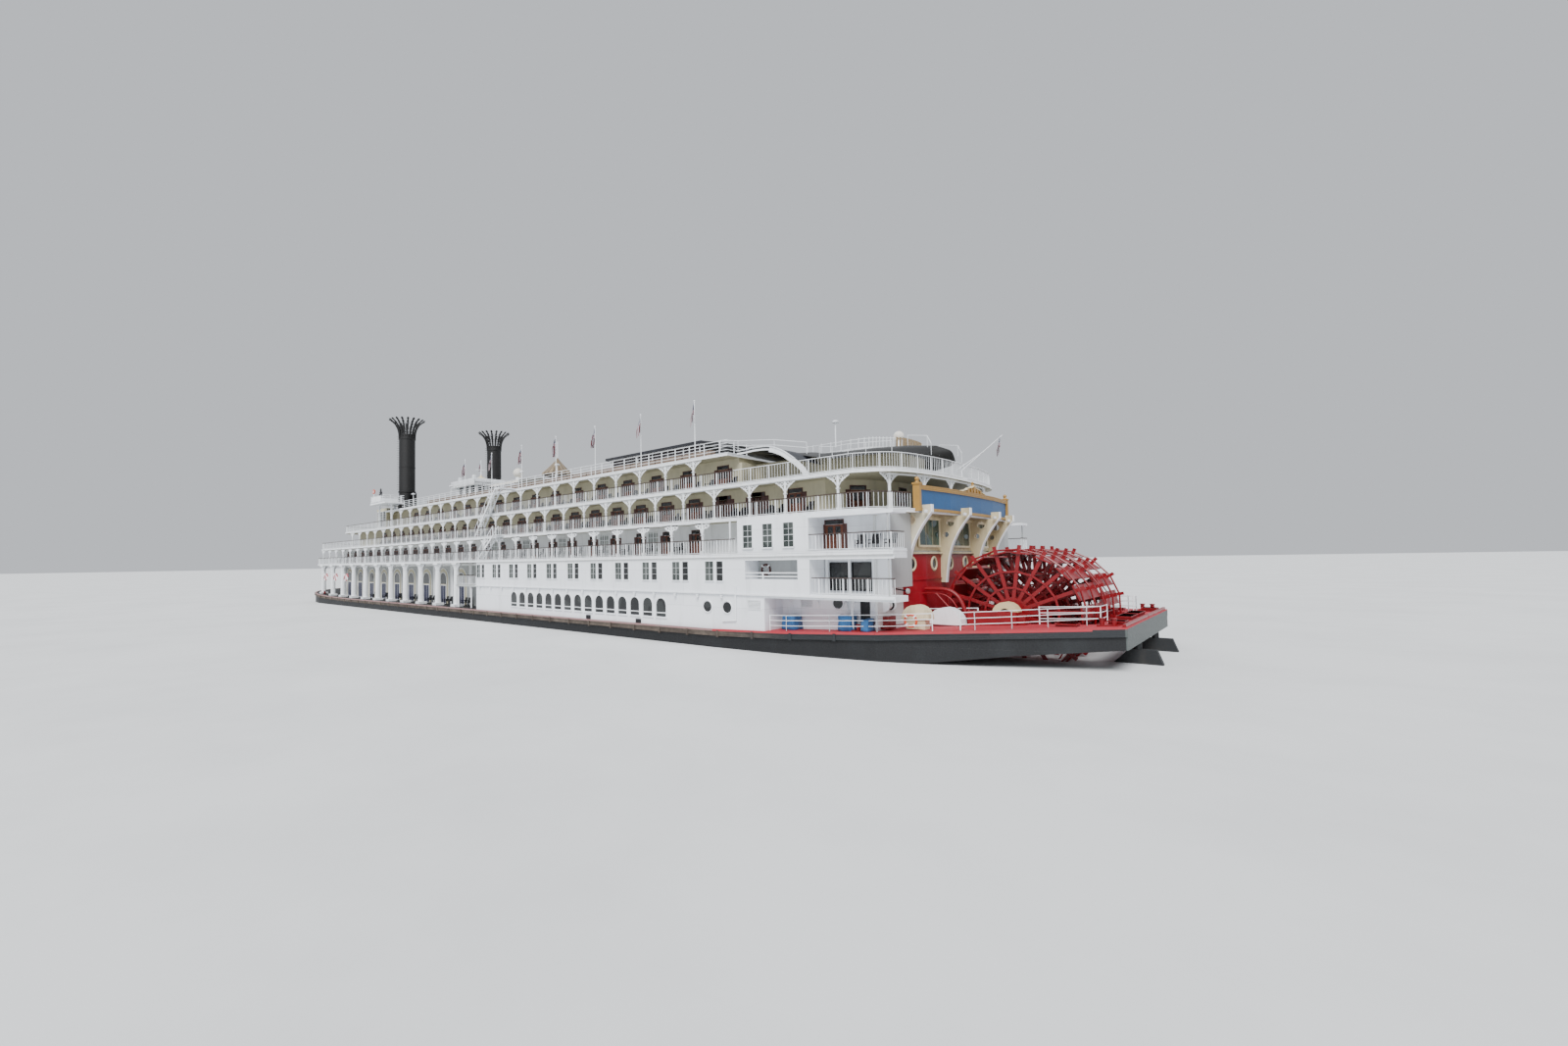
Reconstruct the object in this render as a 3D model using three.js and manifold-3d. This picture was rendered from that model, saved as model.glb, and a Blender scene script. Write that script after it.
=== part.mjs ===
// Sternwheel passenger riverboat, one tenth of its real size.
// Written in metres of the full-size boat: x runs forward from the transom, y to port,
// z up from the flat bottom. The outer group turns those metres into model millimetres.
import * as THREE from 'three';
import { mergeVertices } from 'three/addons/utils/BufferGeometryUtils.js';
import Module from 'manifold-3d';

const wasm = await Module();
wasm.setup();

// Driving dimensions, metres at full size
const modelScale = 10;
const gap = 0.004;
const lengthOverall = 127.4;
const halfBeam = 13.54;
const transomHalfWidth = 7.75;
const slab = 0.25;
const bay = 3.35;
const firstStation = 76.24;
const railHeight = 1.05;
const houseAft = 11.57;
const sideWallAft = 10.15;
const bulkheadHalf = 11.65;
const wideWallFront = 59.4;
const gallerySideAft = 21.75;
const splitMain = 21.8;
const splitThree = 22.4;

// Floor heights of the decks above the flat bottom
const floors = { two: 6.53, three: 9.38, four: 12.06, five: 14.81, six: 17.61 };

// Height of the main deck's edge along the boat
const sheer = [
  [0, 4.92], [6, 4.6], [12, 4.26], [18, 4], [24, 3.83], [30, 3.75],
  [100, 3.75], [112, 3.88], [120, 4.26], [lengthOverall, 4.76],
];

// Half-breadth of the main deck along the boat
const hullPlan = [
  [0, transomHalfWidth], [6, 10.3], [12, 12.3], [18, 13.25], [24, halfBeam],
  [110, halfBeam], [115.5, 13.4], [119.5, 12.7], [122, 11.4], [124.3, 8.9], [126.2, 5.4], [lengthOverall - 0.16, 2],
];

// Rake of the bottom at the stern and at the bow
const bottomAft = [[0, 3.78], [5, 3.25], [10, 2.5], [16, 1.1], [22, 0]];
const bottomFore = [[112, 0], [119, 1], [124.5, 2.6], [lengthOverall, 4.15]];

const wheel = {
  x: 6.29, z: 5.33, radius: 4.3, halfWidth: 5.45, arms: 18, rings: 3,
  halves: [{ from: -5.45, to: -0.25, phase: 0.322 }, { from: -0.15, to: 5.45, phase: 0.477 }],
};
const well = { aft: 1.7, fore: 11.1, halfWidth: 5.75 };
const rudder = { x: 0.2, y: 3.4, top: 3.38, bottom: 0.5, aft: 1.2, fore: 1.2, thick: 0.5 };
const stack = {
  x: 91.93, y: 7.64, radius: 1.2, hinge: 19.9, hingeAft: 1.5, tubeTop: 29.5, top: 31.9, crown: 2.9,
};
const pilot = { x: 82.6, halfLength: 2.85, halfWidth: 2.4, wall: 0.2, roof: 21.1, mast: 25.2 };

// Half-breadths of each upper deck's edge, its columns and the wall behind them
const widths = {
  three: { edge: halfBeam, foreEdge: 12.6, columns: 12.3, wall: 10.7 },
  four: { edge: 12.44, columns: 10.85, wall: 9.25 },
  five: { edge: 10.98, columns: 9.55, wall: 7.95 },
  six: { edge: 9.68 },
};

// Paints
const paint = {
  white: ['#e9ecee', 0.55], navy: ['#1f2430', 0.5], timber: ['#87827a', 0.85],
  deckRed: ['#bd5a60', 0.7], red: ['#9c1c28', 0.45], cream: ['#e4dabd', 0.55],
  gold: ['#c49a45', 0.4], blue: ['#2c6ba6', 0.5], black: ['#17181c', 0.6],
  tan: ['#b39a78', 0.7], canvas: ['#23242a', 0.9],
};

// The origin lies amidships on the flat bottom
const amidships = lengthOverall / 2;
const boat = new THREE.Group();
boat.scale.setScalar(1000 / modelScale);
boat.position.x = -amidships * 1000 / modelScale;

// Solids from closed three.js geometry and back again
function solid(geometry) {
  const bare = geometry.index ? geometry.toNonIndexed() : geometry.clone();
  bare.deleteAttribute('normal');
  bare.deleteAttribute('uv');
  const merged = mergeVertices(bare, 1e-5);
  return new wasm.Manifold(new wasm.Mesh({
    numProp: 3,
    vertProperties: new Float32Array(merged.attributes.position.array),
    triVerts: new Uint32Array(merged.index.array),
  }));
}

function join(parts) {
  return parts.reduce((whole, part) => whole.add(part));
}

function cut(whole, parts) {
  return parts.reduce((left, part) => left.subtract(part), whole);
}

function add(name, whole, [color, roughness], metalness = 0) {
  const mesh = whole.getMesh();
  const geometry = new THREE.BufferGeometry();
  geometry.setAttribute('position', new THREE.BufferAttribute(mesh.vertProperties, 3));
  geometry.setIndex(new THREE.BufferAttribute(mesh.triVerts, 1));
  geometry.computeVertexNormals();
  const node = new THREE.Mesh(geometry, new THREE.MeshStandardMaterial({ color, roughness, metalness }));
  node.name = name;
  boat.add(node);
}

// A box between two corners
function block(x0, x1, y0, y1, z0, z1) {
  const geometry = new THREE.BoxGeometry(x1 - x0, y1 - y0, z1 - z0);
  geometry.translate((x0 + x1) / 2, (y0 + y1) / 2, (z0 + z1) / 2);
  return solid(geometry);
}

function outline(points) {
  return new THREE.Shape(points.map(([a, b]) => new THREE.Vector2(a, b)));
}

// A plan outline raised from z0 to z1
function plate(points, z0, z1) {
  const geometry = new THREE.ExtrudeGeometry(outline(points), { depth: z1 - z0, bevelEnabled: false });
  geometry.translate(0, 0, z0);
  return solid(geometry);
}

// A side outline of x and z, run across the boat from y0 to y1
function profile(points, y0, y1) {
  const geometry = new THREE.ExtrudeGeometry(outline(points), { depth: y1 - y0, bevelEnabled: false });
  geometry.rotateX(Math.PI / 2);
  geometry.translate(0, y1, 0);
  return solid(geometry);
}

// An outline of y and z, run along the boat from x0 to x1
function section(points, x0, x1) {
  const geometry = new THREE.ExtrudeGeometry(outline(points), { depth: x1 - x0, bevelEnabled: false });
  geometry.rotateX(Math.PI / 2);
  geometry.rotateZ(Math.PI / 2);
  geometry.translate(x0, 0, 0);
  return solid(geometry);
}

// A round bar from one point to another
function bar(from, to, radius, sides = 4, endRadius = radius) {
  const a = new THREE.Vector3(...from);
  const b = new THREE.Vector3(...to);
  const geometry = new THREE.CylinderGeometry(endRadius, radius, a.distanceTo(b), sides);
  const turn = new THREE.Quaternion().setFromUnitVectors(
    new THREE.Vector3(0, 1, 0), b.clone().sub(a).normalize());
  geometry.applyQuaternion(turn);
  geometry.translate((a.x + b.x) / 2, (a.y + b.y) / 2, (a.z + b.z) / 2);
  return solid(geometry);
}

// A square bar that leans in plan from one point to another, upright sides
function plank(from, to, width, z0, z1) {
  const length = Math.hypot(to[0] - from[0], to[1] - from[1]);
  const geometry = new THREE.BoxGeometry(length, width, z1 - z0);
  geometry.rotateZ(Math.atan2(to[1] - from[1], to[0] - from[0]));
  geometry.translate((from[0] + to[0]) / 2, (from[1] + to[1]) / 2, (z0 + z1) / 2);
  return solid(geometry);
}

// A turned shape about the upright axis, profile of radius and height
function turned(points, x, y, sides) {
  const geometry = new THREE.LatheGeometry(points.map(([r, h]) => new THREE.Vector2(r, h)), sides);
  geometry.rotateX(Math.PI / 2);
  geometry.translate(x, y, 0);
  return solid(geometry);
}

function mirrored(whole) {
  return whole.mirror([0, 1, 0]);
}

function height(table, x) {
  const next = Math.max(1, table.findIndex(([at]) => at >= x));
  const [x0, z0] = table[next - 1];
  const [x1, z1] = table[next];
  return z0 + (z1 - z0) * (x - x0) / (x1 - x0);
}

function bothSides(points) {
  return [...points, ...points.map(([x, y]) => [x, -y]).reverse()];
}

// Stations of the colonnades, every bay from the aft one forward
function stations(from, to) {
  const list = [];
  for (let k = to; k >= from; k -= 1) list.push(firstStation - bay * k);
  return list;
}

// Hull, its timber edge and the red deck around the wheel
function sheerBand(low, high, from, to) {
  const inside = sheer.filter(([x]) => x > from && x < to).map(([x]) => x);
  const xs = [from, ...inside, to];
  return [
    ...xs.map((x) => [x, height(sheer, x) + low]),
    ...xs.reverse().map((x) => [x, height(sheer, x) + high]),
  ];
}

const deckPlan = bothSides(hullPlan);
const wellOpening = block(well.aft, well.fore, -well.halfWidth, well.halfWidth, -1, 9);
const hullSide = [...bottomAft, ...bottomFore, ...sheer.slice().reverse()];
const hullPlanSolid = plate(deckPlan, -1, 9);
const hull = profile(hullSide, -halfBeam - 1, halfBeam + 1).intersect(hullPlanSolid).subtract(wellOpening);
add('hull', hull, paint.navy);

const guardProud = 0.16;
const guardDeep = 0.42;
const pastHull = (by) => bothSides([
  [-1, transomHalfWidth + by], ...hullPlan.map(([x, y]) => [x > 127 ? x + by : x, y + by]),
]);
const guardBand = profile(sheerBand(-guardDeep, 0, 0, lengthOverall + 1), -15, 15);
const guard = plate(pastHull(guardProud), -1, 9).intersect(guardBand).subtract(plate(pastHull(gap), -2, 10));
add('deck_edge_guard', guard, paint.timber);

const redDeckFront = 19.5;
const skin = 0.07;
const deckSkin = profile(sheerBand(gap, skin, 0, redDeckFront), -15, 15)
  .intersect(hullPlanSolid).subtract(wellOpening);
add('stern_deck', deckSkin, paint.deckRed);

// Curved face of the house behind the wheel, from its outer end to the middle
const faceThick = 0.16;
const sternFace = [[12.3, bulkheadHalf - 0.05], [12.05, 8.6], [houseAft, 5.8]];
const faceSide = [sternFace[0][0], bulkheadHalf];
const facePlan = (back) => bothSides(sternFace.map(([x, y]) => [x - back, y]));
const aftOfFace = [...bothSides([faceSide, ...sternFace]), [0, -bulkheadHalf], [0, bulkheadHalf]];
const faceBand = [...facePlan(faceThick), ...facePlan(gap).reverse()];

// House on the main deck: low storey set in at the stern, upper storey out to the edge
const lowWall = 11.2;
const wideWall = halfBeam - 0.15;
const overSkin = skin + gap;
const underThree = floors.three - slab - gap;
const lowAft = profile([
  ...sheerBand(overSkin, 0, houseAft, redDeckFront).slice(0, 4),
  [redDeckFront, floors.two], [houseAft, floors.two],
], -lowWall, lowWall);
const lowMiddle = profile([
  ...sheerBand(gap, 0, redDeckFront, splitMain).slice(0, 2),
  [splitMain, floors.two], [redDeckFront, floors.two],
], -wideWall, wideWall);
const storeyTwo = block(sideWallAft, splitMain, -wideWall, wideWall, floors.two - slab, underThree);
const recesses = [
  { aft: 10, fore: 15.88, low: floors.two + 0.1, high: 8.9, depth: 2.2 },
  { aft: 16.78, fore: 21.11, low: 7.56, high: 8.9, depth: 1.8 },
];
const acrossSides = (aft, fore, inner, low, high) => [1, -1].map((side) => block(aft, fore,
  Math.min(side * inner, side * 15), Math.max(side * inner, side * 15), low, high));
const mainHouseAft = cut(join([lowAft, lowMiddle, storeyTwo]), [
  plate(aftOfFace, 0, underThree + 1),
  ...recesses.flatMap((r) => acrossSides(r.aft, r.fore, halfBeam - r.depth, r.low, r.high)),
]);
add('main_house_aft', mainHouseAft, paint.white);

const mainHouse = profile([
  ...sheerBand(gap, 0, splitMain + gap, wideWallFront).slice(0, 4),
  [wideWallFront, underThree], [splitMain + gap, underThree],
], -wideWall, wideWall);
add('main_house', mainHouse, paint.white);

// Red bulkhead ahead of the wheel
add('wheel_bulkhead', plate(faceBand, height(sheer, houseAft) + 0.3, underThree), paint.red);

// Posts under a hand rail along a path of plan points; the rail follows the floor
function railing(path, floor, spacing, radius = 0.05) {
  const floorAt = floor instanceof Function ? floor : () => floor;
  const railDeep = 0.1;
  return join(path.slice(1).map((to, k) => {
    const from = path[k];
    const length = Math.hypot(to[0] - from[0], to[1] - from[1]);
    const count = Math.max(1, Math.round(length / spacing));
    const ends = [floorAt(from[0]), floorAt(to[0])];
    const level = (at) => ends[0] + (ends[1] - ends[0]) * at / length;
    const top = (at) => level(at) + railHeight;
    const comb = [[length + radius, top(length)], [-radius, top(0)]];
    if (k > 0) comb.push([-radius, top(0) - railDeep]);
    for (let n = k === 0 ? 0 : 1; n <= count; n += 1) {
      const at = length * n / count;
      const foot = Math.max(level(at - radius), level(at + radius)) + gap;
      if (n > 0) comb.push([at - radius, top(at) - railDeep]);
      comb.push([at - radius, foot], [at + radius, foot]);
      if (n < count) comb.push([at + radius, top(at) - railDeep]);
    }
    const geometry = new THREE.ExtrudeGeometry(outline(comb), { depth: 2 * radius, bevelEnabled: false });
    geometry.rotateX(Math.PI / 2);
    geometry.translate(0, radius, 0);
    geometry.rotateZ(Math.atan2(to[1] - from[1], to[0] - from[0]));
    geometry.translate(from[0], from[1], 0);
    return solid(geometry);
  }));
}

// Forward half of the two lower storeys: a house set in behind tall columns, with a short
// balcony each side between the wide wall and the first of them
const foreHouseFront = 112;
const foreWall = 10.2;
const sideBalcony = { fore: 65.9, edge: 12.55 };
const balconyPort = join([
  block(wideWallFront + gap, sideBalcony.fore, foreWall - 0.1, sideBalcony.edge,
    floors.two - slab, floors.two),
  railing([[wideWallFront + 0.1, sideBalcony.edge - 0.1], [sideBalcony.fore - 0.1, sideBalcony.edge - 0.1],
    [sideBalcony.fore - 0.1, foreWall - 0.05]], floors.two - 2 * gap, 2 * bay),
]);
const foreHouse = join([profile([
  ...sheerBand(gap, 0, wideWallFront + gap, foreHouseFront).slice(0, 3),
  [foreHouseFront, underThree], [wideWallFront + gap, underThree],
], -foreWall, foreWall), balconyPort, mirrored(balconyPort)]);
add('fore_house', foreHouse, paint.white);

// A row of columns under a beam, each head with a bracket on both sides, cut as one comb outline
function colonnade(xs, y, low, high, radius, reach, drop) {
  const foot = low instanceof Function ? low : () => low;
  const head = high - 0.2;
  const last = xs.length - 1;
  const points = [[xs[last] + reach + radius, high], [xs[0] - reach - radius, high]];
  xs.forEach((x) => points.push(
    [x - radius - reach, head], [x - radius, head - drop], [x - radius, foot(x)],
    [x + radius, foot(x)], [x + radius, head - drop], [x + radius + reach, head]));
  return profile(points, y - radius, y + radius);
}

const tall = { first: 66.6, spacing: 1.5 * bay, count: 11, radius: 0.36, y: 12.15, reach: 0.9, drop: 0.9 };
const tallStations = Array.from({ length: tall.count }, (_, k) => tall.first + tall.spacing * k);
const foreColumns = colonnade(tallStations, tall.y, (x) => height(sheer, x + tall.radius) + gap,
  underThree, tall.radius, tall.reach, tall.drop);
add('fore_columns_port', foreColumns, paint.white);
add('fore_columns_starboard', mirrored(foreColumns), paint.white);

// Decks: the curve of each stern from the middle outwards, and of each front from the side inwards
const sterns = {
  four: [[10.33, 4.4], [10.68, 8.86], [11.2, 10.7], [12, 11.85], [13.3, widths.four.edge]],
  five: [[10.8, 4.2], [11.3, 7.9], [12.2, 9.9], [14, widths.five.edge]],
};
const fronts = {
  three: [[118.2, widths.three.foreEdge], [120.2, 12.15], [121.6, 11], [122.3, 9], [122.8, 5]],
  four: [[116.6, widths.four.edge], [118.4, 12.05], [119.6, 11], [120.2, 9], [120.5, 5]],
  five: [[109.2, widths.five.edge], [110.8, 10.5], [111.8, 9.4], [112.3, 7.5], [112.6, 4]],
};
const deckThreePlan = bothSides([
  ...sternFace.slice().reverse(), faceSide, [sideWallAft, bulkheadHalf], [sideWallAft, halfBeam],
  [wideWallFront, halfBeam], [wideWallFront, widths.three.foreEdge], ...fronts.three,
]);
add('deck_three', plate(deckThreePlan, floors.three - slab, floors.three), paint.white);

const deckFourPlan = bothSides([...sterns.four, ...fronts.four]);
add('deck_four', plate(deckFourPlan, floors.four - slab, floors.four), paint.white);

const deckFivePlan = bothSides([...sterns.five, ...fronts.five]);
add('deck_five', plate(deckFivePlan, floors.five - slab, floors.five), paint.white);

const sixAft = 25.5;
const sixFront = 95.5;
add('deck_six', block(sixAft, sixFront, -widths.six.edge, widths.six.edge, floors.six - slab, floors.six),
  paint.white);

// Houses between the decks
const underFour = floors.four - slab - gap;
const underFive = floors.five - slab - gap;
const underSix = floors.six - slab - gap;
const onThree = floors.three + gap;
const houseThreeAft = cut(join([
  block(sideWallAft, gallerySideAft, -wideWall, wideWall, onThree, underFour),
  block(gallerySideAft - 1, splitThree, -widths.three.wall, widths.three.wall, onThree, underFour),
]), [
  plate(aftOfFace, 0, underFour + 1),
  ...acrossSides(sideWallAft - 1, 15.9, bulkheadHalf - 0.2, floors.three + 0.1, underFour - 0.2),
]);
add('house_three_aft', houseThreeAft, paint.white);
add('house_three', block(splitThree + gap, 114, -widths.three.wall, widths.three.wall, onThree, underFour),
  paint.white);

const houseFourPlan = bothSides([
  [14.2, 3.6], [15.1, 6.6], [17, widths.four.wall], [107.5, widths.four.wall], [110.5, 7],
]);
add('house_four', plate(houseFourPlan, floors.four + gap, underFive), paint.white);

// Low stern lounge, the long house of deck five and the glazed lounge at its front
const canopyLow = 16.95;
const canopyHigh = 17.2;
const houseFive = join([
  plate(bothSides([[14.6, 2.4], [15.6, 4.6], [18.6, 6], [26, 6]]), floors.five + gap, canopyLow - gap),
  block(sixAft - 0.1, 97, -widths.five.wall, widths.five.wall, floors.five + gap, canopyLow - gap),
  block(sixAft + 0.2, 97, -widths.five.wall, widths.five.wall, floors.five + gap, underSix),
  block(sixFront + gap, 99.4, -9.4, 9.4, floors.five + gap, floors.six + 0.5),
]);
add('house_five', houseFive, paint.white);

// Colonnades along the three galleries
const slim = 0.11;
const colonnadeThree = colonnade(stations(-12, 15), widths.three.columns, onThree, underFour,
  slim, 0.75, 0.75);
add('columns_three_port', colonnadeThree, paint.white);
add('columns_three_starboard', mirrored(colonnadeThree), paint.white);

const aftStationsFour = [15.1, 19.3, 22.5];
const colonnadeFour = colonnade([...aftStationsFour, ...stations(-9, 15)], widths.four.columns,
  floors.four + gap, underFive, slim, 0.95, 0.95);
add('columns_four_port', colonnadeFour, paint.white);
add('columns_four_starboard', mirrored(colonnadeFour), paint.white);

const colonnadeFive = colonnade(stations(-5, 14), widths.five.columns, floors.five + gap, underSix,
  slim, 0.95, 0.95);
add('columns_five_port', colonnadeFive, paint.white);
add('columns_five_starboard', mirrored(colonnadeFive), paint.white);

// Columns round the stern of deck four, tied by a curved beam
const sternPosts = bothSides([[12.75, 10], [11.45, 7.3], [11, 2.45]]);
const sternColumns = join([
  ...sternPosts.map(([x, y]) => block(x - slim, x + slim, y - slim, y + slim, floors.four + gap, underFive)),
  ...sternPosts.slice(1).map((to, k) => plank(sternPosts[k], to, 0.18, underFive - 0.2, underFive)),
]);
add('stern_columns', sternColumns, paint.cream);

// Balustrades
const postSpacing = 2 * bay;
const railIn = 0.12;
const insetAft = (points) => points.map(([x, y]) => [x + railIn * 1.2, y - railIn]);
const insetFore = (points) => [...points.map(([x, y]) => [x - railIn, y - railIn]),
  [points[points.length - 1][0] - railIn, 0.3]];
const railThree = railing([
  [gallerySideAft + 0.15, halfBeam - railIn], [wideWallFront - 0.1, halfBeam - railIn],
  [wideWallFront - 0.1, widths.three.foreEdge - railIn], ...insetFore(fronts.three),
], floors.three, postSpacing);
add('rail_three_port', railThree, paint.white);
add('rail_three_starboard', mirrored(railThree), paint.white);

const railFour = railing([[10.95, 9.1], ...insetAft(sterns.four.slice(2)), ...insetFore(fronts.four)],
  floors.four, postSpacing);
add('rail_four_port', railFour, paint.white);
add('rail_four_starboard', mirrored(railFour), paint.white);

const railFive = railing([[10.95, 0.1], ...insetAft(sterns.five), ...insetFore(fronts.five)],
  floors.five, postSpacing);
add('rail_five_port', railFive, paint.white);
add('rail_five_starboard', mirrored(railFive), paint.white);

// Sun deck rail; the port side carries a row of flagpoles, every second column
const poles = { first: 29.1, count: 7, rise: 4.95, foot: 0.07, tip: 0.04 };
const poleY = widths.six.edge - railIn;
const flagpoles = Array.from({ length: poles.count }, (_, k) => bar(
  [poles.first + postSpacing * k, poleY, floors.six + gap],
  [poles.first + postSpacing * k, poleY, floors.six + poles.rise], poles.foot, 4, poles.tip));
const railSix = railing([[sixAft + railIn, 0.3], [sixAft + railIn, poleY], [89.2, poleY]],
  floors.six, postSpacing);
add('rail_six_port', join([railSix, ...flagpoles]), paint.white);
add('rail_six_starboard', mirrored(railSix), paint.white);

// Pipe rails round the open stern deck
const railStern = railing([[19.3, 13.05], [18, 13], [12, 12.05], [6, 10.05], [3, 8.75]],
  (x) => height(sheer, x) + skin, 2.5);
add('stern_rail_port', railStern, paint.white);
add('stern_rail_starboard', mirrored(railStern), paint.white);

// Cream stern wall with the curved fins that reach past the deck above, each with two round holes
const finOutline = [
  [11.6, 11.8], [9.9, 11.8], [9.9, 12.3], [9.34, 12.3], [9.34, 11.82], [9.79, 11.22], [10.14, 10.67],
  [10.49, 9.99], [10.71, 9.36], [10.87, 8.67], [11.02, 7.51], [11.06, 7.13], [11.6, 7.13],
];
const finHoles = [[10.65, 11.35, 0.28], [10.97, 10.5, 0.2]];
const fins = [
  { y: 8.38, back: 0.55 }, { y: 3.12, back: 0 }, { y: -3.12, back: 0 }, { y: -8.38, back: 0.55 },
];
const finHalf = 0.11;
const finSolids = fins.map(({ y, back }) => cut(
  profile(finOutline.map(([x, z]) => [x + back, z]), y - finHalf, y + finHalf), [
    plate([...facePlan(faceThick + gap), [15, -bulkheadHalf], [15, bulkheadHalf]], 0, onThree),
    plate([...facePlan(gap), [15, -bulkheadHalf], [15, bulkheadHalf]], onThree, 13),
    ...finHoles.map(([x, z, r]) => bar([x + back, y - 1, z], [x + back, y + 1, z], r, 10)),
  ]));
const sternWall = join([plate(faceBand, onThree, underFour), ...finSolids]);
add('stern_wall', sternWall, paint.cream);

// Name board across the stern, left blank, with a pediment
const board = { low: 11.95, high: 13.5, thick: 0.15 };
const boardLine = [...sterns.four.slice(0, 2).reverse(), [10.26, 1.5]];
const boardPlan = (back) => bothSides(boardLine.map(([x, y]) => [x - back, y]));
add('name_board', plate([...boardPlan(gap + board.thick), ...boardPlan(gap).reverse()],
  board.low, board.high).subtract(plate(deckFourPlan.map(([x, y]) => [x - gap, y]), 0, floors.four + 0.5)),
paint.blue);
const onBoard = board.high + gap;
add('board_pediment', section([[-2.3, onBoard], [2.3, onBoard], [1.3, onBoard + 0.28],
  [0, onBoard + 0.6], [-1.3, onBoard + 0.28]], 10.07, 10.25), paint.gold);

// Canopy over the stern lounge and the slatted screen on it
const canopyPlan = bothSides([
  [12.2, 2.5], [13.4, 4.9], [15.4, 6.4], [18.5, 7.1], [sixAft - 0.05, 7.1],
]);
add('stern_canopy', plate(canopyPlan, canopyLow, canopyHigh), paint.canvas);
const screenPlan = bothSides([[14.6, 1.6], [15.5, 3.2], [17, 4.2], [21.5, 4.2]]);
add('slat_screen', plate(screenPlan, canopyHigh + gap, 18.15), paint.tan);

// Outside stairs: from deck three to four, along a landing, then past deck five to the sun deck
const stairs = {
  low: { foot: 59.3, head: 55.9, inner: 12.56, outer: 13.3 },
  high: { foot: 62.6, head: 57.8, inner: 11.05, outer: 11.9 },
  deep: 0.35, treadTop: 0.05,
};
function flight({ foot, head, inner, outer }, low, high) {
  const run = (foot - head) * stairs.deep / (high - low);
  return profile([[head, high - stairs.deep], [foot - run, low], [foot, low], [head + run, high],
    [head, high]], inner, outer);
}
const stairPort = join([
  flight(stairs.low, onThree, floors.four + stairs.treadTop),
  flight(stairs.high, floors.four + gap, floors.six),
  block(stairs.low.head - 0.9, stairs.low.head + 0.1, stairs.high.inner, stairs.low.outer,
    floors.four + gap, floors.four + stairs.treadTop),
  block(stairs.low.head - 0.9, stairs.high.foot - 0.1, stairs.high.inner, stairs.high.outer,
    floors.four + gap, floors.four + stairs.treadTop),
  block(stairs.high.head - 0.9, stairs.high.head + 0.1, widths.six.edge + gap, stairs.high.outer,
    floors.six - 0.2, floors.six),
]);
add('side_stair_port', stairPort, paint.white);
add('side_stair_starboard', mirrored(stairPort), paint.white);

// Pilothouse, hollow, with its window band cut all round, under a wide roof with a mast
const pilotAft = pilot.x - pilot.halfLength;
const pilotFore = pilot.x + pilot.halfLength;
const pane = { low: 1.9, below: 0.25, half: 0.62, across: 0.52 };
const pilotShell = cut(block(pilotAft, pilotFore, -pilot.halfWidth, pilot.halfWidth,
  floors.six + gap, pilot.roof), [
  block(pilotAft + pilot.wall, pilotFore - pilot.wall, -pilot.halfWidth + pilot.wall,
    pilot.halfWidth - pilot.wall, floors.six + 0.2, pilot.roof + 1),
  ...[-1.5, 0, 1.5].map((y) => block(pilotAft - 1, pilotFore + 1, y - pane.across, y + pane.across,
    floors.six + pane.low, pilot.roof - pane.below)),
  ...[-1.8, 0, 1.8].map((x) => block(pilot.x + x - pane.half, pilot.x + x + pane.half, -9, 9,
    floors.six + pane.low, pilot.roof - pane.below)),
]);
add('pilothouse', pilotShell, paint.white);
const pilotRoof = join([
  block(pilotAft - 0.8, pilotFore + 0.8, -pilot.halfWidth - 0.8, pilot.halfWidth + 0.8,
    pilot.roof + gap, pilot.roof + 0.45),
  block(pilotAft, pilotFore, -pilot.halfWidth, pilot.halfWidth, pilot.roof + 0.4, pilot.roof + 0.8),
  bar([pilot.x, 0, pilot.roof + 0.7], [pilot.x, 0, pilot.mast], 0.09, 6, 0.05),
]);
add('pilothouse_roof', pilotRoof, paint.white);

// Wing bridge in front of the stacks, wider at its ends, on legs that stand on decks five and six
const wing = {
  aft: 93.4, fore: 95.3, endAft: 89.5, inner: 9.05, outer: 12, floor: 18.55, thick: 0.2, rail: 1.1, wall: 0.1,
};
const wingLow = wing.floor - wing.thick;
const wingEnd = join([
  block(wing.endAft, wing.fore, wing.inner, wing.outer, wingLow, wing.floor),
  block(wing.endAft, wing.fore, wing.outer - wing.wall, wing.outer, wingLow, wing.floor + wing.rail),
  block(wing.endAft, wing.endAft + wing.wall, wing.inner, wing.outer, wingLow, wing.floor + wing.rail),
  block(wing.endAft + 0.7, wing.endAft + 0.9, 10.6, 10.8, floors.five + gap, wing.floor - 0.1),
  block(wing.fore - 0.4, wing.fore - 0.2, 10.6, 10.8, floors.five + gap, wing.floor - 0.1),
]);
const wings = join([
  wingEnd, mirrored(wingEnd),
  block(wing.aft, wing.fore, -wing.outer, wing.outer, wingLow, wing.floor),
  block(wing.fore - wing.wall, wing.fore, -wing.outer, wing.outer, wingLow, wing.floor + wing.rail),
  ...[-8.5, -3, 3, 8.5].map((y) => block(94.4, 94.6, y - 0.1, y + 0.1, floors.six + gap, wing.floor - 0.1)),
]);
add('bridge_wings', wings, paint.white);

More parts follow.
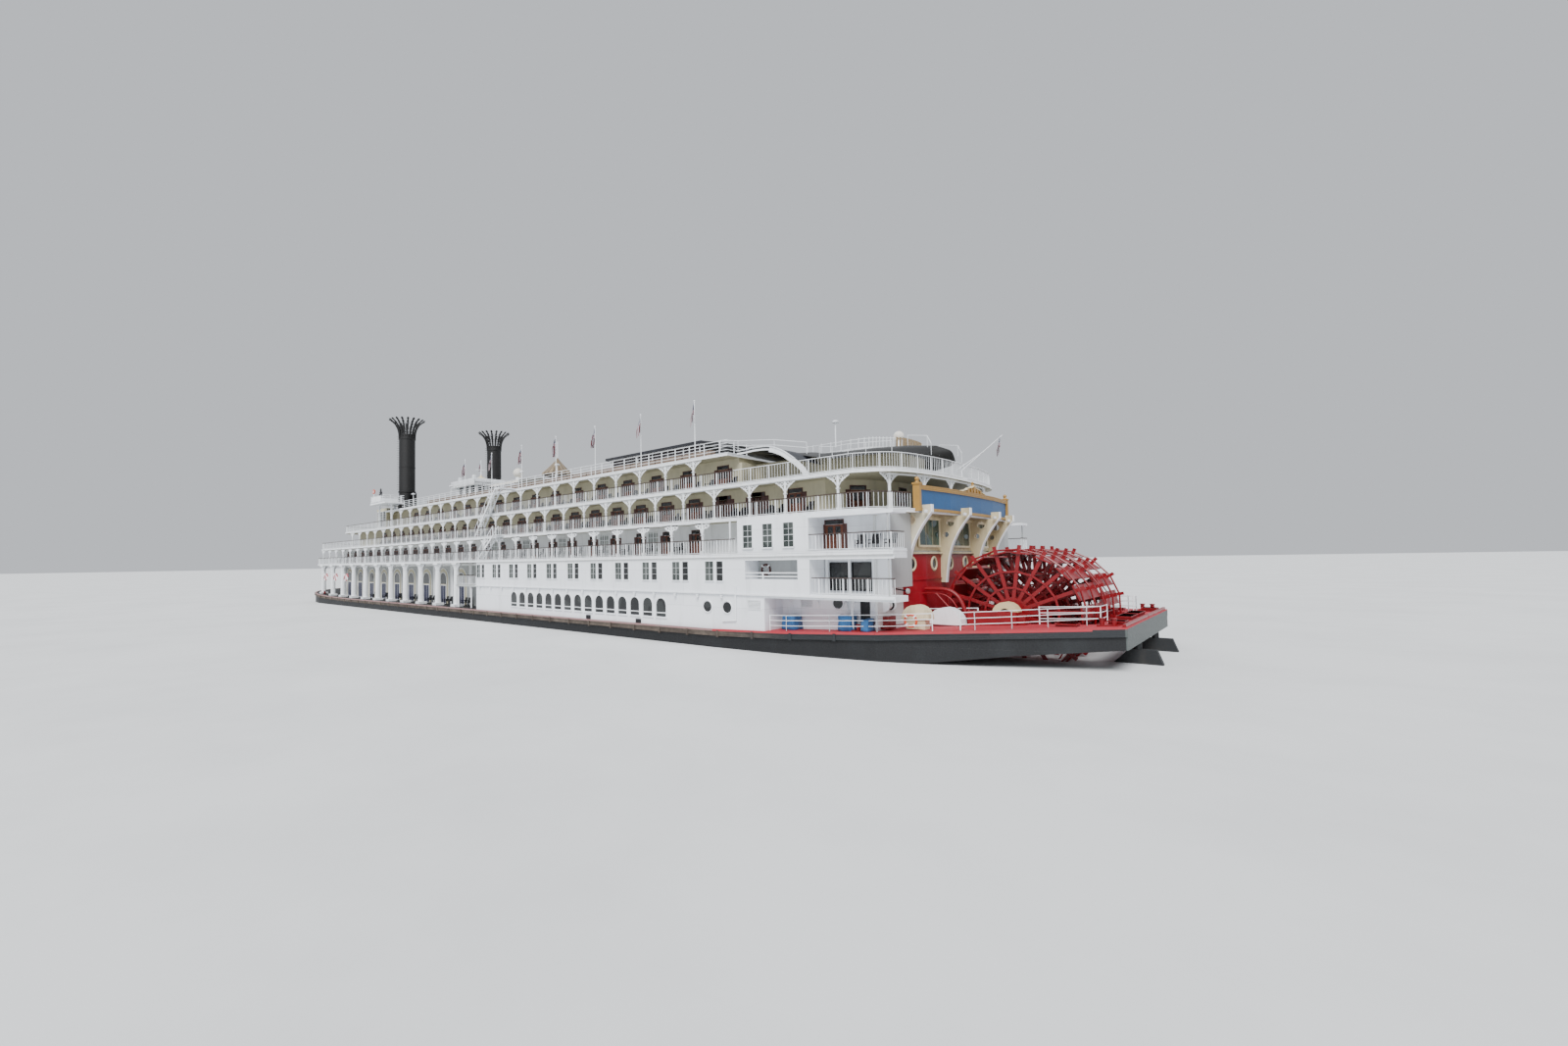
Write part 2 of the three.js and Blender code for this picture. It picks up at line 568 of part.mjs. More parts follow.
// Smokestacks hinged at their bases
const baseTop = stack.hinge - 0.75;
const hingeX = stack.x - stack.hingeAft;
const featherCount = 14;
const crownRise = stack.top - stack.tubeTop;
const reach = stack.crown - stack.radius;
const featherOutline = [
  [stack.radius - 0.15, -0.5], [stack.radius, -0.5], [stack.radius + reach * 0.12, crownRise * 0.35],
  [stack.radius + reach * 0.42, crownRise * 0.72], [stack.crown, crownRise],
  [stack.radius + reach * 0.75, crownRise], [stack.radius + reach * 0.18, crownRise * 0.7],
  [stack.radius - 0.12, crownRise * 0.35], [stack.radius - 0.15, 0],
];
for (const [side, way] of [['port', 1], ['starboard', -1]]) {
  const y = way * stack.y;
  const cheek = (from, to) => block(hingeX - 0.3, hingeX + 0.3, y + from, y + to,
    18.2, stack.hinge + 0.25);
  const base = join([
    turned([[0, floors.six + gap], [1.35, floors.six + gap], [1.35, 18.2], [1.25, 18.4],
      [1.25, baseTop], [0, baseTop]], stack.x, y, 14),
    block(hingeX - 0.3, hingeX + 0.6, y - 0.75, y + 0.75, 18.2, 18.6),
    cheek(-0.75, -0.45), cheek(0.45, 0.75),
    bar([hingeX, y - 0.6, stack.hinge], [hingeX, y + 0.6, stack.hinge], 0.1, 16),
  ]);
  add(`stack_base_${side}`, base, paint.black);
  const feathers = [];
  for (let k = 0; k < featherCount; k += 1) {
    const feather = new THREE.ExtrudeGeometry(outline(featherOutline), { depth: 0.16, bevelEnabled: false });
    feather.rotateX(Math.PI / 2);
    feather.translate(0, 0.08, stack.tubeTop);
    feather.rotateZ(2 * Math.PI * k / featherCount);
    feather.translate(stack.x, y, 0);
    feathers.push(solid(feather));
  }
  const tube = join([
    turned([[0, baseTop + 0.04], [stack.radius, baseTop + 0.04], [stack.radius, stack.tubeTop],
      [stack.radius - 0.15, stack.tubeTop], [stack.radius - 0.15, 21], [0, 21]], stack.x, y, 16),
    block(hingeX - 0.25, stack.x - 0.9, y - 0.4, y + 0.4, stack.hinge - 0.2, stack.hinge + 0.2),
    ...feathers,
  ]).subtract(bar([hingeX, y - 1, stack.hinge], [hingeX, y + 1, stack.hinge], 0.105, 16));
  add(`stack_${side}`, tube, paint.black);
}

// Tent roof on posts, the long awning and the white canopy behind the pilothouse
const tentAt = { x: 62.3, eaves: 20.55, radius: 2.15, apex: 22.85, pole: 25.1 };
const tent = join([
  turned([[0, tentAt.eaves], [tentAt.radius, tentAt.eaves], [tentAt.radius, tentAt.eaves + 0.2],
    [0.2, tentAt.apex], [0.08, tentAt.apex + 0.1], [0.05, tentAt.pole], [0, tentAt.pole]], tentAt.x, 0, 8),
  ...[45, 135, 225, 315].map((deg) => {
    const a = THREE.MathUtils.degToRad(deg);
    const spot = [tentAt.x + 1.8 * Math.cos(a), 1.8 * Math.sin(a)];
    return bar([...spot, floors.six + gap], [...spot, tentAt.eaves + 0.1], 0.1);
  }),
]);
add('tent_roof', tent, paint.tan);

function shelter(aft, fore, halfWidth, eaves, ridge, thick, posts) {
  return join([
    section([[-halfWidth, eaves], [halfWidth, eaves], [halfWidth, eaves + thick], [0, ridge],
      [-halfWidth, eaves + thick]], aft, fore),
    ...posts.flatMap((x) => [1, -1].map((way) => block(x - 0.08, x + 0.08,
      way * (halfWidth - 0.4) - 0.08, way * (halfWidth - 0.4) + 0.08, floors.six + gap, eaves + 0.1))),
  ]);
}
add('long_awning', shelter(32.1, 45.9, 5.4, 19.85, 20.4, 0.2, [32.6, 36.8, 41.2, 45.4]), paint.canvas);
add('fore_canopy', shelter(66.2, 73.4, 3.6, 19.75, 20.7, 0.25, [66.7, 72.9]), paint.white);

// Paddle wheel: shaft, hubs and arms of two halves set half a pitch apart, and their bucket planks
const arm = { thick: 0.12, wide: 0.2, hub: 0.8 };
const bucket = { deep: 0.85, thick: 0.09, ahead: 0.1 };
const wheelParts = [bar([wheel.x, -wheel.halfWidth - 0.95, wheel.z],
  [wheel.x, wheel.halfWidth + 0.95, wheel.z], 0.34, 24)];
for (const half of wheel.halves) {
  for (let ring = 0; ring < wheel.rings; ring += 1) {
    const y = half.from + 0.2 + (half.to - half.from - 0.4) * ring / (wheel.rings - 1);
    wheelParts.push(bar([wheel.x, y - 0.14, wheel.z], [wheel.x, y + 0.14, wheel.z], arm.hub, 18));
    for (let k = 0; k < wheel.arms; k += 1) {
      const spoke = new THREE.BoxGeometry(arm.wide, arm.thick, wheel.radius - 0.15);
      spoke.translate(0, 0, wheel.radius / 2 + 0.02);
      spoke.rotateY(-half.phase - 2 * Math.PI * k / wheel.arms);
      spoke.translate(wheel.x, y, wheel.z);
      wheelParts.push(solid(spoke));
    }
  }
  for (let k = 0; k < wheel.arms; k += 1) {
    const float = new THREE.BoxGeometry(bucket.thick, half.to - half.from, bucket.deep);
    float.translate(bucket.ahead, (half.from + half.to) / 2, wheel.radius - bucket.deep / 2 - 0.02);
    float.rotateY(-half.phase - 2 * Math.PI * k / wheel.arms);
    float.translate(wheel.x, 0, wheel.z);
    wheelParts.push(solid(float));
  }
}
add('paddle_wheel', join(wheelParts), paint.red);

// Bearings of the wheel on the side decks
const bearing = { inner: 5.85, outer: 6.7, half: 1.1, radius: 0.75, bore: 0.346 };
for (const [side, way] of [['port', 1], ['starboard', -1]]) {
  const y0 = Math.min(way * bearing.inner, way * bearing.outer);
  const y1 = Math.max(way * bearing.inner, way * bearing.outer);
  const deckTop = height(sheer, wheel.x - bearing.half) + skin + gap;
  const seat = join([
    block(wheel.x - bearing.half, wheel.x + bearing.half, y0, y1, deckTop, wheel.z),
    bar([wheel.x, y0, wheel.z], [wheel.x, y1, wheel.z], bearing.radius, 16),
  ]).intersect(block(wheel.x - 2, wheel.x + 2, y0 - 1, y1 + 1, deckTop, wheel.z + 2))
    .subtract(bar([wheel.x, y0 - 1, wheel.z], [wheel.x, y1 + 1, wheel.z], bearing.bore, 24));
  add(`wheel_bearing_${side}`, seat, paint.cream);
}

// Rudders behind the wheel, each on an upright stock under the stern deck
for (const [side, way] of [['port', 1], ['starboard', -1]]) {
  const y = way * rudder.y;
  const blade = join([
    profile([
      [rudder.x + rudder.fore, rudder.bottom], [rudder.x + rudder.fore, 2.5],
      [rudder.x + 0.4, rudder.top], [rudder.x - 0.9, rudder.top], [rudder.x - rudder.aft, 2.5],
      [rudder.x - rudder.aft - 0.3, rudder.bottom + 0.3],
    ], y - rudder.thick / 2, y + rudder.thick / 2),
    bar([rudder.x, y, 1], [rudder.x, y, height(bottomAft, rudder.x + 0.2) - gap], 0.2, 10),
  ]);
  add(`rudder_${side}`, blade, paint.black);
}

// Domed covers over the drums on the open stern deck, each on a stand
const standShare = 0.7;
function drum(x, y, radius, halfWidth, base, foot) {
  const axle = base + foot;
  return join([
    bar([x, y - halfWidth, axle], [x, y + halfWidth, axle], radius, 20)
      .intersect(block(x - 2, x + 2, y - 2, y + 2, axle - 0.04, axle + 2)),
    block(x - radius * standShare, x + radius * standShare, y - halfWidth * 0.8, y + halfWidth * 0.8,
      base, axle),
  ]);
}
const drumRows = [
  { name: 'drum_cover_aft', x: 9.6, y: 7.1, radius: 1.05, halfWidth: 0.5, foot: 0.1 },
  { name: 'drum_cover_fore', x: 10.35, y: 9.9, radius: 0.85, halfWidth: 0.45, foot: 0.65 },
];
for (const { name, x, y, radius, halfWidth, foot } of drumRows) {
  const cover = drum(x, y, radius, halfWidth, height(sheer, x - standShare * radius) + skin + gap, foot);
  add(`${name}_port`, cover, paint.cream);
  add(`${name}_starboard`, mirrored(cover), paint.cream);
}

export default boat;
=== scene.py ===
from itertools import pairwise
import math
import random
import bmesh
import bpy
from mathutils import Matrix, Vector


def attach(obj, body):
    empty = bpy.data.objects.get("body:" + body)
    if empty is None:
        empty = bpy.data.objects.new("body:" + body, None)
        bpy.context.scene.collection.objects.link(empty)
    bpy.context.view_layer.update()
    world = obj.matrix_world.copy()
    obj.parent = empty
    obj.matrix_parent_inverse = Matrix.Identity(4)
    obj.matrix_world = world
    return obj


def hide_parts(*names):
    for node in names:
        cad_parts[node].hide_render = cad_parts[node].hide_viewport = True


# Looks of the sternwheel riverboat. Sizes are in metres of the full-size boat, with x from
# the transom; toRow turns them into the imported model's frame, one tenth of that size.
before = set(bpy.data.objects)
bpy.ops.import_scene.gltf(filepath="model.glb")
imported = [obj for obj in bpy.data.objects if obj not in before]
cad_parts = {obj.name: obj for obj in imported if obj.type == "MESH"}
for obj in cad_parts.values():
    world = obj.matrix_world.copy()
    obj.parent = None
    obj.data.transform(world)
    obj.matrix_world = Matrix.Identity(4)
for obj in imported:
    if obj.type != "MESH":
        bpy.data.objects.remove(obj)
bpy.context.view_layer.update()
toRow = Matrix.Scale(0.1, 4) @ Matrix.Translation((-63.7, 0, 0))
random.seed(7)

camera = {
    "place": (-6.98701, 4.88049, 0.88679), "heading": 0.78033, "pitch": 0.03857,
    "roll": -0.01491, "lens": 14.368, "shift": (0.075, 0.00934),
}


def addObject(name, data):
    made = bpy.data.objects.new(name, data)
    bpy.context.scene.collection.objects.link(made)
    return made


def makeCamera(spot):
    turn, lift, roll = spot["heading"], spot["pitch"], spot["roll"]
    ahead = Vector((math.sin(turn) * math.cos(lift), -math.cos(turn) * math.cos(lift), math.sin(lift)))
    level = Vector((-math.cos(turn), -math.sin(turn), 0))
    upright = level.cross(ahead)
    right = level * math.cos(roll) + upright * math.sin(roll)
    up = upright * math.cos(roll) - level * math.sin(roll)
    data = bpy.data.cameras.new("photoCamera")
    data.lens, (data.shift_x, data.shift_y) = spot["lens"], spot["shift"]
    data.clip_end = 600
    eye = addObject("photoCamera", data)
    eye.matrix_world = Matrix.Translation(spot["place"]) @ Matrix((right, up, -ahead)).transposed().to_4x4()
    bpy.context.scene.camera = eye


makeCamera(camera)
print("camera set")


# Materials
def linear(code):
    parts = [int(code[k:k + 2], 16) / 255 for k in (1, 3, 5)]
    return (*[p / 12.92 if p <= 0.04045 else ((p + 0.055) / 1.055) ** 2.4 for p in parts], 1)


# Each setting is a socket to link from, the value of an input, or a property of the node
def setNode(mat, node, settings):
    for key, value in settings.items():
        if isinstance(value, bpy.types.NodeSocket):
            mat.node_tree.links.new(value, node.inputs[key])
        elif isinstance(key, int) or key in node.inputs:
            node.inputs[key].default_value = value
        else:
            setattr(node, key, value)
    return node


def addNode(mat, kind, settings, out=0):
    return setNode(mat, mat.node_tree.nodes.new("ShaderNode" + kind), settings).outputs[out]


def remap(mat, value, low, high, toLow=0, toHigh=1):
    return addNode(mat, "MapRange", {"Value": value, "From Min": low, "From Max": high, "To Min": toLow,
                                     "To Max": toHigh})


def blend(mat, share, first, second, how="MIX"):
    first, second = (linear(c) if isinstance(c, str) else c for c in (first, second))
    return addNode(mat, "Mix", {"data_type": "RGBA", "blend_type": how, 0: share, 6: first, 7: second}, 2)


def calc(mat, how, first, second=0.5):
    return addNode(mat, "Math", {"operation": how, 0: first, 1: second})


def raised(mat, source, strength, distance, **more):
    return addNode(mat, "Bump", {"Strength": strength, "Distance": distance, "Height": source, **more})


def newMaterial(name):
    mat = bpy.data.materials.new(name)
    mat.use_nodes = True
    return mat, mat.node_tree.nodes["Principled BSDF"], addNode(mat, "TexCoord", {}, "Object")


# A coat of paint or a like skin: patches of wear run down it, fine grain shows in gloss and bump.
# patch and grain are sizes in millimetres on the model; streak below 1 draws the patches out downwards.
# seams = (length, height) in millimetres adds plates with a dark line and a groove between them.
def coat(name, colour, worn, rough=(0.4, 0.6), patch=60, streak=0.3, wear=(0.5, 0.75), most=0.6,
         grain=4, bump=0.25, seams=None, stretch=(1, 1, 1), metallic=0):
    mat, shader, place = newMaterial(name)
    runs = addNode(mat, "Mapping", {"Vector": place, "Scale": (1, 1, streak)})
    patches = addNode(mat, "TexNoise", {"Vector": runs, "Scale": 1000 / patch, "Detail": 7,
                                        "Roughness": 0.62})
    colour = blend(mat, remap(mat, patches, *wear, 0, most), colour, worn)
    grainy = addNode(mat, "Mapping", {"Vector": place, "Scale": stretch})
    fine = addNode(mat, "TexNoise", {"Vector": grainy, "Scale": 1000 / grain, "Detail": 3})
    lift = raised(mat, fine, bump, 0.0015)
    if seams:
        lie = addNode(mat, "Mapping", {"Vector": place, "Rotation": (math.pi / 2, 0, 0)})
        plates = addNode(mat, "TexBrick", {"Vector": lie, "Scale": 1, "Brick Width": seams[0] / 1000,
                                           "Row Height": seams[1] / 1000, "Mortar Size": 0.0011,
                                           "Mortar Smooth": 0.4, "Color1": (1, 1, 1, 1),
                                           "Color2": (0.93, 0.93, 0.94, 1), "Mortar": (0.66, 0.66, 0.67, 1)})
        colour = blend(mat, 1.0, colour, plates, "MULTIPLY")
        lift = raised(mat, plates.node.outputs[1], 0.5, 0.001, invert=True, Normal=lift)
    setNode(mat, shader, {"Base Color": colour, "Roughness": remap(mat, fine, 0.3, 0.7, *rough),
                          "Normal": lift, "Metallic": metallic})
    return mat


# Window glass backed by a dark room: paler patches stand for blinds and curtains behind it
def roomGlass(name, dark, pale, share, rough=0.08, cell=9):
    mat, shader, place = newMaterial(name)
    rooms = addNode(mat, "TexVoronoi", {"Vector": place, "Scale": 1000 / (cell * 10)}, "Color")
    folds = addNode(mat, "TexWave", {"Vector": place, "Scale": 1000 / (cell * 2), "Distortion": 0.6}, 1)
    colour = blend(mat, calc(mat, "MULTIPLY", remap(mat, rooms, 0.55, 0.6, 0, share), folds), dark, pale)
    wave = addNode(mat, "TexNoise", {"Vector": place, "Scale": 30, "Detail": 1})
    setNode(mat, shader, {"Base Color": colour, "Normal": raised(mat, wave, 0.12, 0.002), "Roughness": rough,
                          "IOR": 1.5})
    return mat


# Slats or boards: a saw wave across the surface with dark gaps between them, pitch in millimetres. Between
# louvre, shutter and seat slats the dark gap is painted shade; between deck planks it is the dark joint.
def slatted(name, colour, jointAndGapShade, pitch, direction="Z", rough=0.55, grain=(8, 8, 1)):
    mat, shader, place = newMaterial(name)
    slats = addNode(mat, "TexWave", {"Vector": place, "bands_direction": direction, "wave_profile": "SAW",
                                     "Scale": 1000 / pitch / 20 * math.pi, "Distortion": 0}, 1)
    grained = addNode(mat, "Mapping", {"Vector": place, "Scale": grain})
    veins = addNode(mat, "TexNoise", {"Vector": grained, "Scale": 45, "Detail": 5})
    colour = blend(mat, remap(mat, slats, 0, 0.22), jointAndGapShade, colour)
    colour = blend(mat, 1.0, colour, remap(mat, veins, 0.3, 0.75, 0.75, 1.15), "MULTIPLY")
    setNode(mat, shader, {"Base Color": colour, "Normal": raised(mat, slats, 0.5, 0.002), "Roughness": rough})
    return mat


# Woven cloth: two crossed thread waves in bump and tint, drawn coarse enough to show at this distance.
# stripes = (second colour, how many round the piece): panels cut from two cloths, along the UV map.
def cloth(name, colour, dark, stripes=None, thread=2.4, rough=0.9, sheen=0.25):
    mat, shader, place = newMaterial(name)
    warp, weft = (addNode(mat, "TexWave", {"Vector": place, "Scale": 1000 / thread / 20,
                                           "bands_direction": way, "Distortion": 0.4}, 1) for way in "XZ")
    fade = addNode(mat, "TexNoise", {"Vector": place, "Scale": 14, "Detail": 5})
    colour = blend(mat, remap(mat, fade, 0.35, 0.7), dark, colour)
    if stripes:
        across = addNode(mat, "SeparateXYZ", {0: addNode(mat, "UVMap", {})})
        part = calc(mat, "FRACT", calc(mat, "MULTIPLY", across, stripes[1]))
        colour = blend(mat, calc(mat, "GREATER_THAN", part), colour, stripes[0])
    weave = raised(mat, calc(mat, "MAXIMUM", warp, weft), 0.3, 0.001)
    setNode(mat, shader, {"Base Color": colour, "Normal": weave, "Roughness": rough, "Sheen Weight": sheen})
    return mat


# Printed flag cloth: thirteen stripes and a blue corner with pale dots, from the flag's own UV map
def flagCloth(name):
    mat, shader, place = newMaterial(name)
    sheet = addNode(mat, "UVMap", {})
    across = addNode(mat, "SeparateXYZ", {0: sheet})
    up = across.node.outputs[1]
    stripes = blend(mat, calc(mat, "LESS_THAN", calc(mat, "FRACT", calc(mat, "MULTIPLY", up, 6.5))),
                    "#b4b1ba", "#6e0a1a")
    corner = calc(mat, "MULTIPLY", calc(mat, "LESS_THAN", across, 0.45), calc(mat, "GREATER_THAN", up, 0.46))
    dots = addNode(mat, "TexVoronoi", {"Vector": sheet, "Scale": 16, "Randomness": 0.0})
    field = blend(mat, calc(mat, "LESS_THAN", dots, 0.25), "#10183c", "#c4c6d2")
    weave = addNode(mat, "TexNoise", {"Vector": place, "Scale": 500, "Detail": 2})
    setNode(mat, shader, {"Base Color": blend(mat, corner, stripes, field),
                          "Normal": raised(mat, weave, 0.3, 0.0006), "Roughness": 0.85, "Sheen Weight": 0.3})
    return mat


# The maker of each material and what that takes
recipes = {
    # Alkyd enamel on steel plate: satin white, greyed where rain runs down it
    "whiteEnamel": (coat, "#eef1f4", "#c3c6c8", (0.38, 0.55), 55, 0.25, (0.5, 0.8), 0.6, 5, 0.12),
    # The same enamel on the big flush walls, where the plate edges show as faint lines
    "platedEnamel": (coat, "#edf0f4", "#c5c8ca", (0.4, 0.55), 90, 0.2, (0.52, 0.8), 0.55, 6, 0.1, (610, 275)),
    # Enamel of the cabin walls and ceilings in the galleries: warm stone colour, always in shade
    "stoneEnamel": (coat, "#bdb79c", "#958f78", (0.5, 0.65), 70, 0.4, (0.45, 0.75), 0.5, 5, 0.1),
    "navyHull": (coat, "#090b0f", "#23272a", (0.45, 0.7), 160, 0.35, (0.5, 0.8), 0.6, 8, 0.25, (900, 120)),
    # Oak rubbing strakes, silvered by weather and scuffed by quays; grain runs along the boat
    "greyTimber": (coat, "#463d36", "#74695e", (0.7, 0.9), 120, 1.4, (0.42, 0.72), 0.7, 9, 0.6, (420, 21),
                   (0.15, 1, 2.5)),
    # Deck paint: worn to a dull pink beside the house, red on the open stern deck
    "wornMargin": (coat, "#8f6d6c", "#8b8582", (0.4, 0.7), 60, 1, (0.5, 0.75), 0.7, 2.5, 0.5),
    "deckRed": (coat, "#a82c38", "#8a4a4c", (0.6, 0.8), 70, 1, (0.5, 0.75), 0.6, 2.5, 0.5),
    # Gloss enamel on the wheel's steel and timber, and on the riveted bulkhead before it
    "wheelRed": (coat, "#7c0712", "#4a0e15", (0.28, 0.45), 40, 0.6, (0.5, 0.8), 0.6, 5, 0.3),
    "bulkheadRed": (coat, "#960f1e", "#a8404d", (0.35, 0.55), 90, 0.35, (0.5, 0.78), 0.6, 6, 0.2, (150, 110)),
    # Cream of the stern wall, darkened with painted shade on its faces
    "sternCream": (coat, "#cdc09d", "#8c8063", (0.42, 0.6), 45, 0.25, (0.45, 0.75), 0.7, 5, 0.15),
    "greyWall": (coat, "#a7aaaa", "#858682", (0.45, 0.6), 60, 0.2, (0.5, 0.8), 0.5, 6, 0.1),
    "bearingPaint": (coat, "#7c0712", "#4a0e15", (0.3, 0.5), 30, 0.6, (0.5, 0.8), 0.5, 5, 0.2),
    "creamEnamel": (coat, "#d6caa8", "#9c9175", (0.42, 0.6), 55, 0.25, (0.48, 0.75), 0.65, 5, 0.15),
    "goldPaint": (coat, "#a17a38", "#77602f", (0.35, 0.5), 30, 0.5, (0.45, 0.75), 0.5, 4, 0.2),
    "bluePaint": (coat, "#0a4c80", "#1a3f5c", (0.35, 0.5), 60, 0.4, (0.5, 0.75), 0.5, 5, 0.1),
    "navyEnamel": (coat, "#10131d", "#252a36", (0.35, 0.5), 60, 0.4, (0.5, 0.8), 0.5, 5, 0.1),
    # Heat-proof black on the stacks, tar paint on the rudders' steel
    "stackBlack": (coat, "#050506", "#151211", (0.5, 0.75), 45, 0.3, (0.5, 0.8), 0.5, 4, 0.3),
    "rudderSteel": (coat, "#15181b", "#33302c", (0.5, 0.75), 50, 0.5, (0.45, 0.75), 0.6, 4, 0.4),
    # Deck planks, panelled and louvred doors of stained wood, ventilator louvres. The two door colours are
    # darkened with painted shade of the galleries.
    "deckBoards": (slatted, "#8d8f8c", "#5b5b59", 22, "Y", 0.8, (1, 8, 8)),
    "doorBrown": (slatted, "#6c3822", "#351a13", 5.5, "Z", 0.5),
    "doorRed": (slatted, "#4c241c", "#28110c", 5.5, "Z", 0.5),
    "doorNavy": (slatted, "#2b2d49", "#15172b", 9, "Z", 0.45),
    # Ventilator louvres: the dark gaps between their slats are painted shade
    "louvreWhite": (slatted, "#b4b8bb", "#666a6e", 7, "Z", 0.5),
    # Varnished teak grips, blackened iron
    "handrail": (coat, "#3a2d29", "#5e4a40", (0.35, 0.55), 30, 1, (0.45, 0.75), 0.6, 3, 0.2),
    "darkIron": (coat, "#1c1c20", "#3c3a3a", (0.4, 0.6), 20, 1, (0.5, 0.8), 0.5, 3, 0.2, None, (1, 1, 1),
                 0.4),
    "windowGlass": (roomGlass, "#0e1012", "#4c504f", 0.5),
    "greyGlass": (roomGlass, "#303634", "#757b77", 0.45),
    "curtainGlass": (roomGlass, "#8d9491", "#c3c5be", 0.8),
    "greenGlass": (roomGlass, "#1d3a37", "#41645d", 0.5),
    "orangePlastic": (coat, "#cf4a22", "#a83a20", (0.4, 0.6), 20, 1, (0.5, 0.8), 0.5, 3, 0.2),
    # Coated tarpaulin, curtain cloth, painted awning canvas, wicker seats and cedar slats
    "blueTarp": (cloth, "#2d6ea6", "#1f4f80", None, 3, 0.55, 0.1),
    # Curtain cloth darkened with painted shade under the long awning
    "greyCurtain": (cloth, "#4f474c", "#302b2f"),
    "navyCanvas": (cloth, "#141724", "#0c0e16"),
    # Black cloth of the stern canopy, also painting the shade under it
    "blackCanvas": (cloth, "#0d0e11", "#060607"),
    "whiteCanvas": (cloth, "#e9e7e0", "#cfcac0"),
    "tentCanvas": (cloth, "#8d7d66", "#776851", ("#5b4d3b", 16)),
    "brownWicker": (slatted, "#8f7c6e", "#6e5f54", 12, "Z", 0.7),
    "tanSlats": (slatted, "#9c8768", "#5c4b38", 26, "X", 0.6),
    "signalFlag": (flagCloth,),
    "buntingCloth": (cloth, "#b62a3c", "#8e2130", ("#e4e2e4", 3)),
    "lampGlass": (roomGlass, "#d9dde0", "#ffffff", 0.5, 0.15),
}
palette = {name: maker(name, *sizes) for name, (maker, *sizes) in recipes.items()}
order = list(palette)


# Paint of a second colour where the place along an axis of the model passes a limit
def parted(name, axis, limit, colour, fold=False, blur=0.002, facing=1):
    mat = palette[name]
    shader = mat.node_tree.nodes["Principled BSDF"]
    place = addNode(mat, "SeparateXYZ", {0: addNode(mat, "TexCoord", {}, "Object")}, axis)
    place = calc(mat, "MULTIPLY", place, facing)
    if fold:
        place = calc(mat, "ABSOLUTE", place)
    first = shader.inputs["Base Color"].links[0].from_socket
    setNode(mat, shader, {"Base Color": blend(mat, remap(mat, place, limit - blur, limit + blur), first,
                                              colour)})


# Plain grey aft of the transom's edge, darker strakes near the stern, white outer ends of the stern wall,
# and bearings that wear red up to the cap and cream above it
parted("navyHull", 0, 6.362, "#4c5251", facing=-1)
parted("greyTimber", 0, 4.35, "#24272a", facing=-1, blur=0.25)
parted("greyTimber", 0, 6.362, "#4c5251", facing=-1)
parted("bulkheadRed", 1, 0.85, "#d6d8d8", fold=True)
parted("sternCream", 1, 0.85, "#d6d8d8", fold=True)
parted("bearingPaint", 2, 0.548, "#cbb990")
print("materials made", len(order))


# Mesh tools
def tint(verts, material="whiteEnamel"):
    for vert in verts:
        for face in vert.link_faces:
            face.material_index = order.index(material)


def block(bm, x, y, z, material="whiteEnamel"):
    size = (x[1] - x[0], y[1] - y[0], z[1] - z[0], 1)
    middle = ((x[0] + x[1]) / 2, (y[0] + y[1]) / 2, (z[0] + z[1]) / 2)
    made = bmesh.ops.create_cube(bm, size=1, matrix=Matrix.Translation(middle) @ Matrix.Diagonal(size))
    tint(made["verts"], material)


def beam(bm, start, end, wide, deep, material="whiteEnamel", up=(0, 0, 1)):
    a, b = Vector(start), Vector(end)
    run = (b - a).normalized()
    across = Vector(up).cross(run)
    across = across.normalized() if across.length > 1e-4 else Vector((0, 1, 0))
    turn = Matrix((run, across, run.cross(across))).transposed().to_4x4()
    made = bmesh.ops.create_cube(bm, size=1, matrix=Matrix.Translation((a + b) / 2) @ turn
                                 @ Matrix.Diagonal(((b - a).length, wide, deep, 1)))
    tint(made["verts"], material)


def rod(bm, start, end, radius, material="whiteEnamel", sides=8, tip=None):
    a, b = Vector(start), Vector(end)
    turn = Vector((0, 0, 1)).rotation_difference(b - a).to_matrix().to_4x4()
    made = bmesh.ops.create_cone(bm, cap_ends=True, segments=sides, radius1=radius,
                                 radius2=radius if tip is None else tip, depth=(b - a).length,
                                 matrix=Matrix.Translation((a + b) / 2) @ turn)
    tint(made["verts"], material)


# A square block about an upright line, and a round pole along one; z and low, high are heights
def post(bm, x, y, z, half, material="whiteEnamel", deep=None):
    deep = half if deep is None else deep
    block(bm, (x - half, x + half), (y - deep, y + deep), z, material)


def pole(bm, x, y, low, high, radius, material="whiteEnamel", sides=8, tip=None):
    rod(bm, (x, y, low), (x, y, high), radius, material, sides, tip)


# A flat outline of points pushed to a thickness
def plate(bm, points, push, material="whiteEnamel"):
    face = bm.faces.new([bm.verts.new(p) for p in points])
    made = bmesh.ops.extrude_face_region(bm, geom=[face])
    moved = [g for g in made["geom"] if isinstance(g, bmesh.types.BMVert)]
    bmesh.ops.translate(bm, vec=push, verts=moved)
    tint([*moved, *face.verts], material)


# A profile of (radius, height) turned about an upright axis at (x, y), or about any axis through centre
def turned(bm, profile, centre, material="whiteEnamel", steps=24, axis="Z"):
    turns = {"Z": Matrix.Identity(4), "Y": Matrix.Rotation(-math.pi / 2, 4, "X"),
             "X": Matrix.Rotation(math.pi / 2, 4, "Y")}
    place = Matrix.Translation(centre) @ turns[axis]
    verts = [bm.verts.new((r, 0, h)) for r, h in profile]
    edges = [bm.edges.new(pair) for pair in pairwise(verts)]
    made = bmesh.ops.spin(bm, geom=verts + edges, cent=(0, 0, 0), axis=(0, 0, 1), angle=2 * math.pi,
                          steps=steps, use_merge=True)
    seen = {e for e in made["geom_last"] if isinstance(e, bmesh.types.BMVert)} | set(verts)
    front = list(seen)
    while front:
        vert = front.pop()
        for edge in vert.link_edges:
            other = edge.other_vert(vert)
            if other not in seen:
                seen.add(other)
                front.append(other)
    bmesh.ops.transform(bm, matrix=place, verts=list(seen))
    tint(seen, material)
    close = [v for v in seen if v.is_valid]
    bmesh.ops.remove_doubles(bm, verts=close, dist=1e-4)


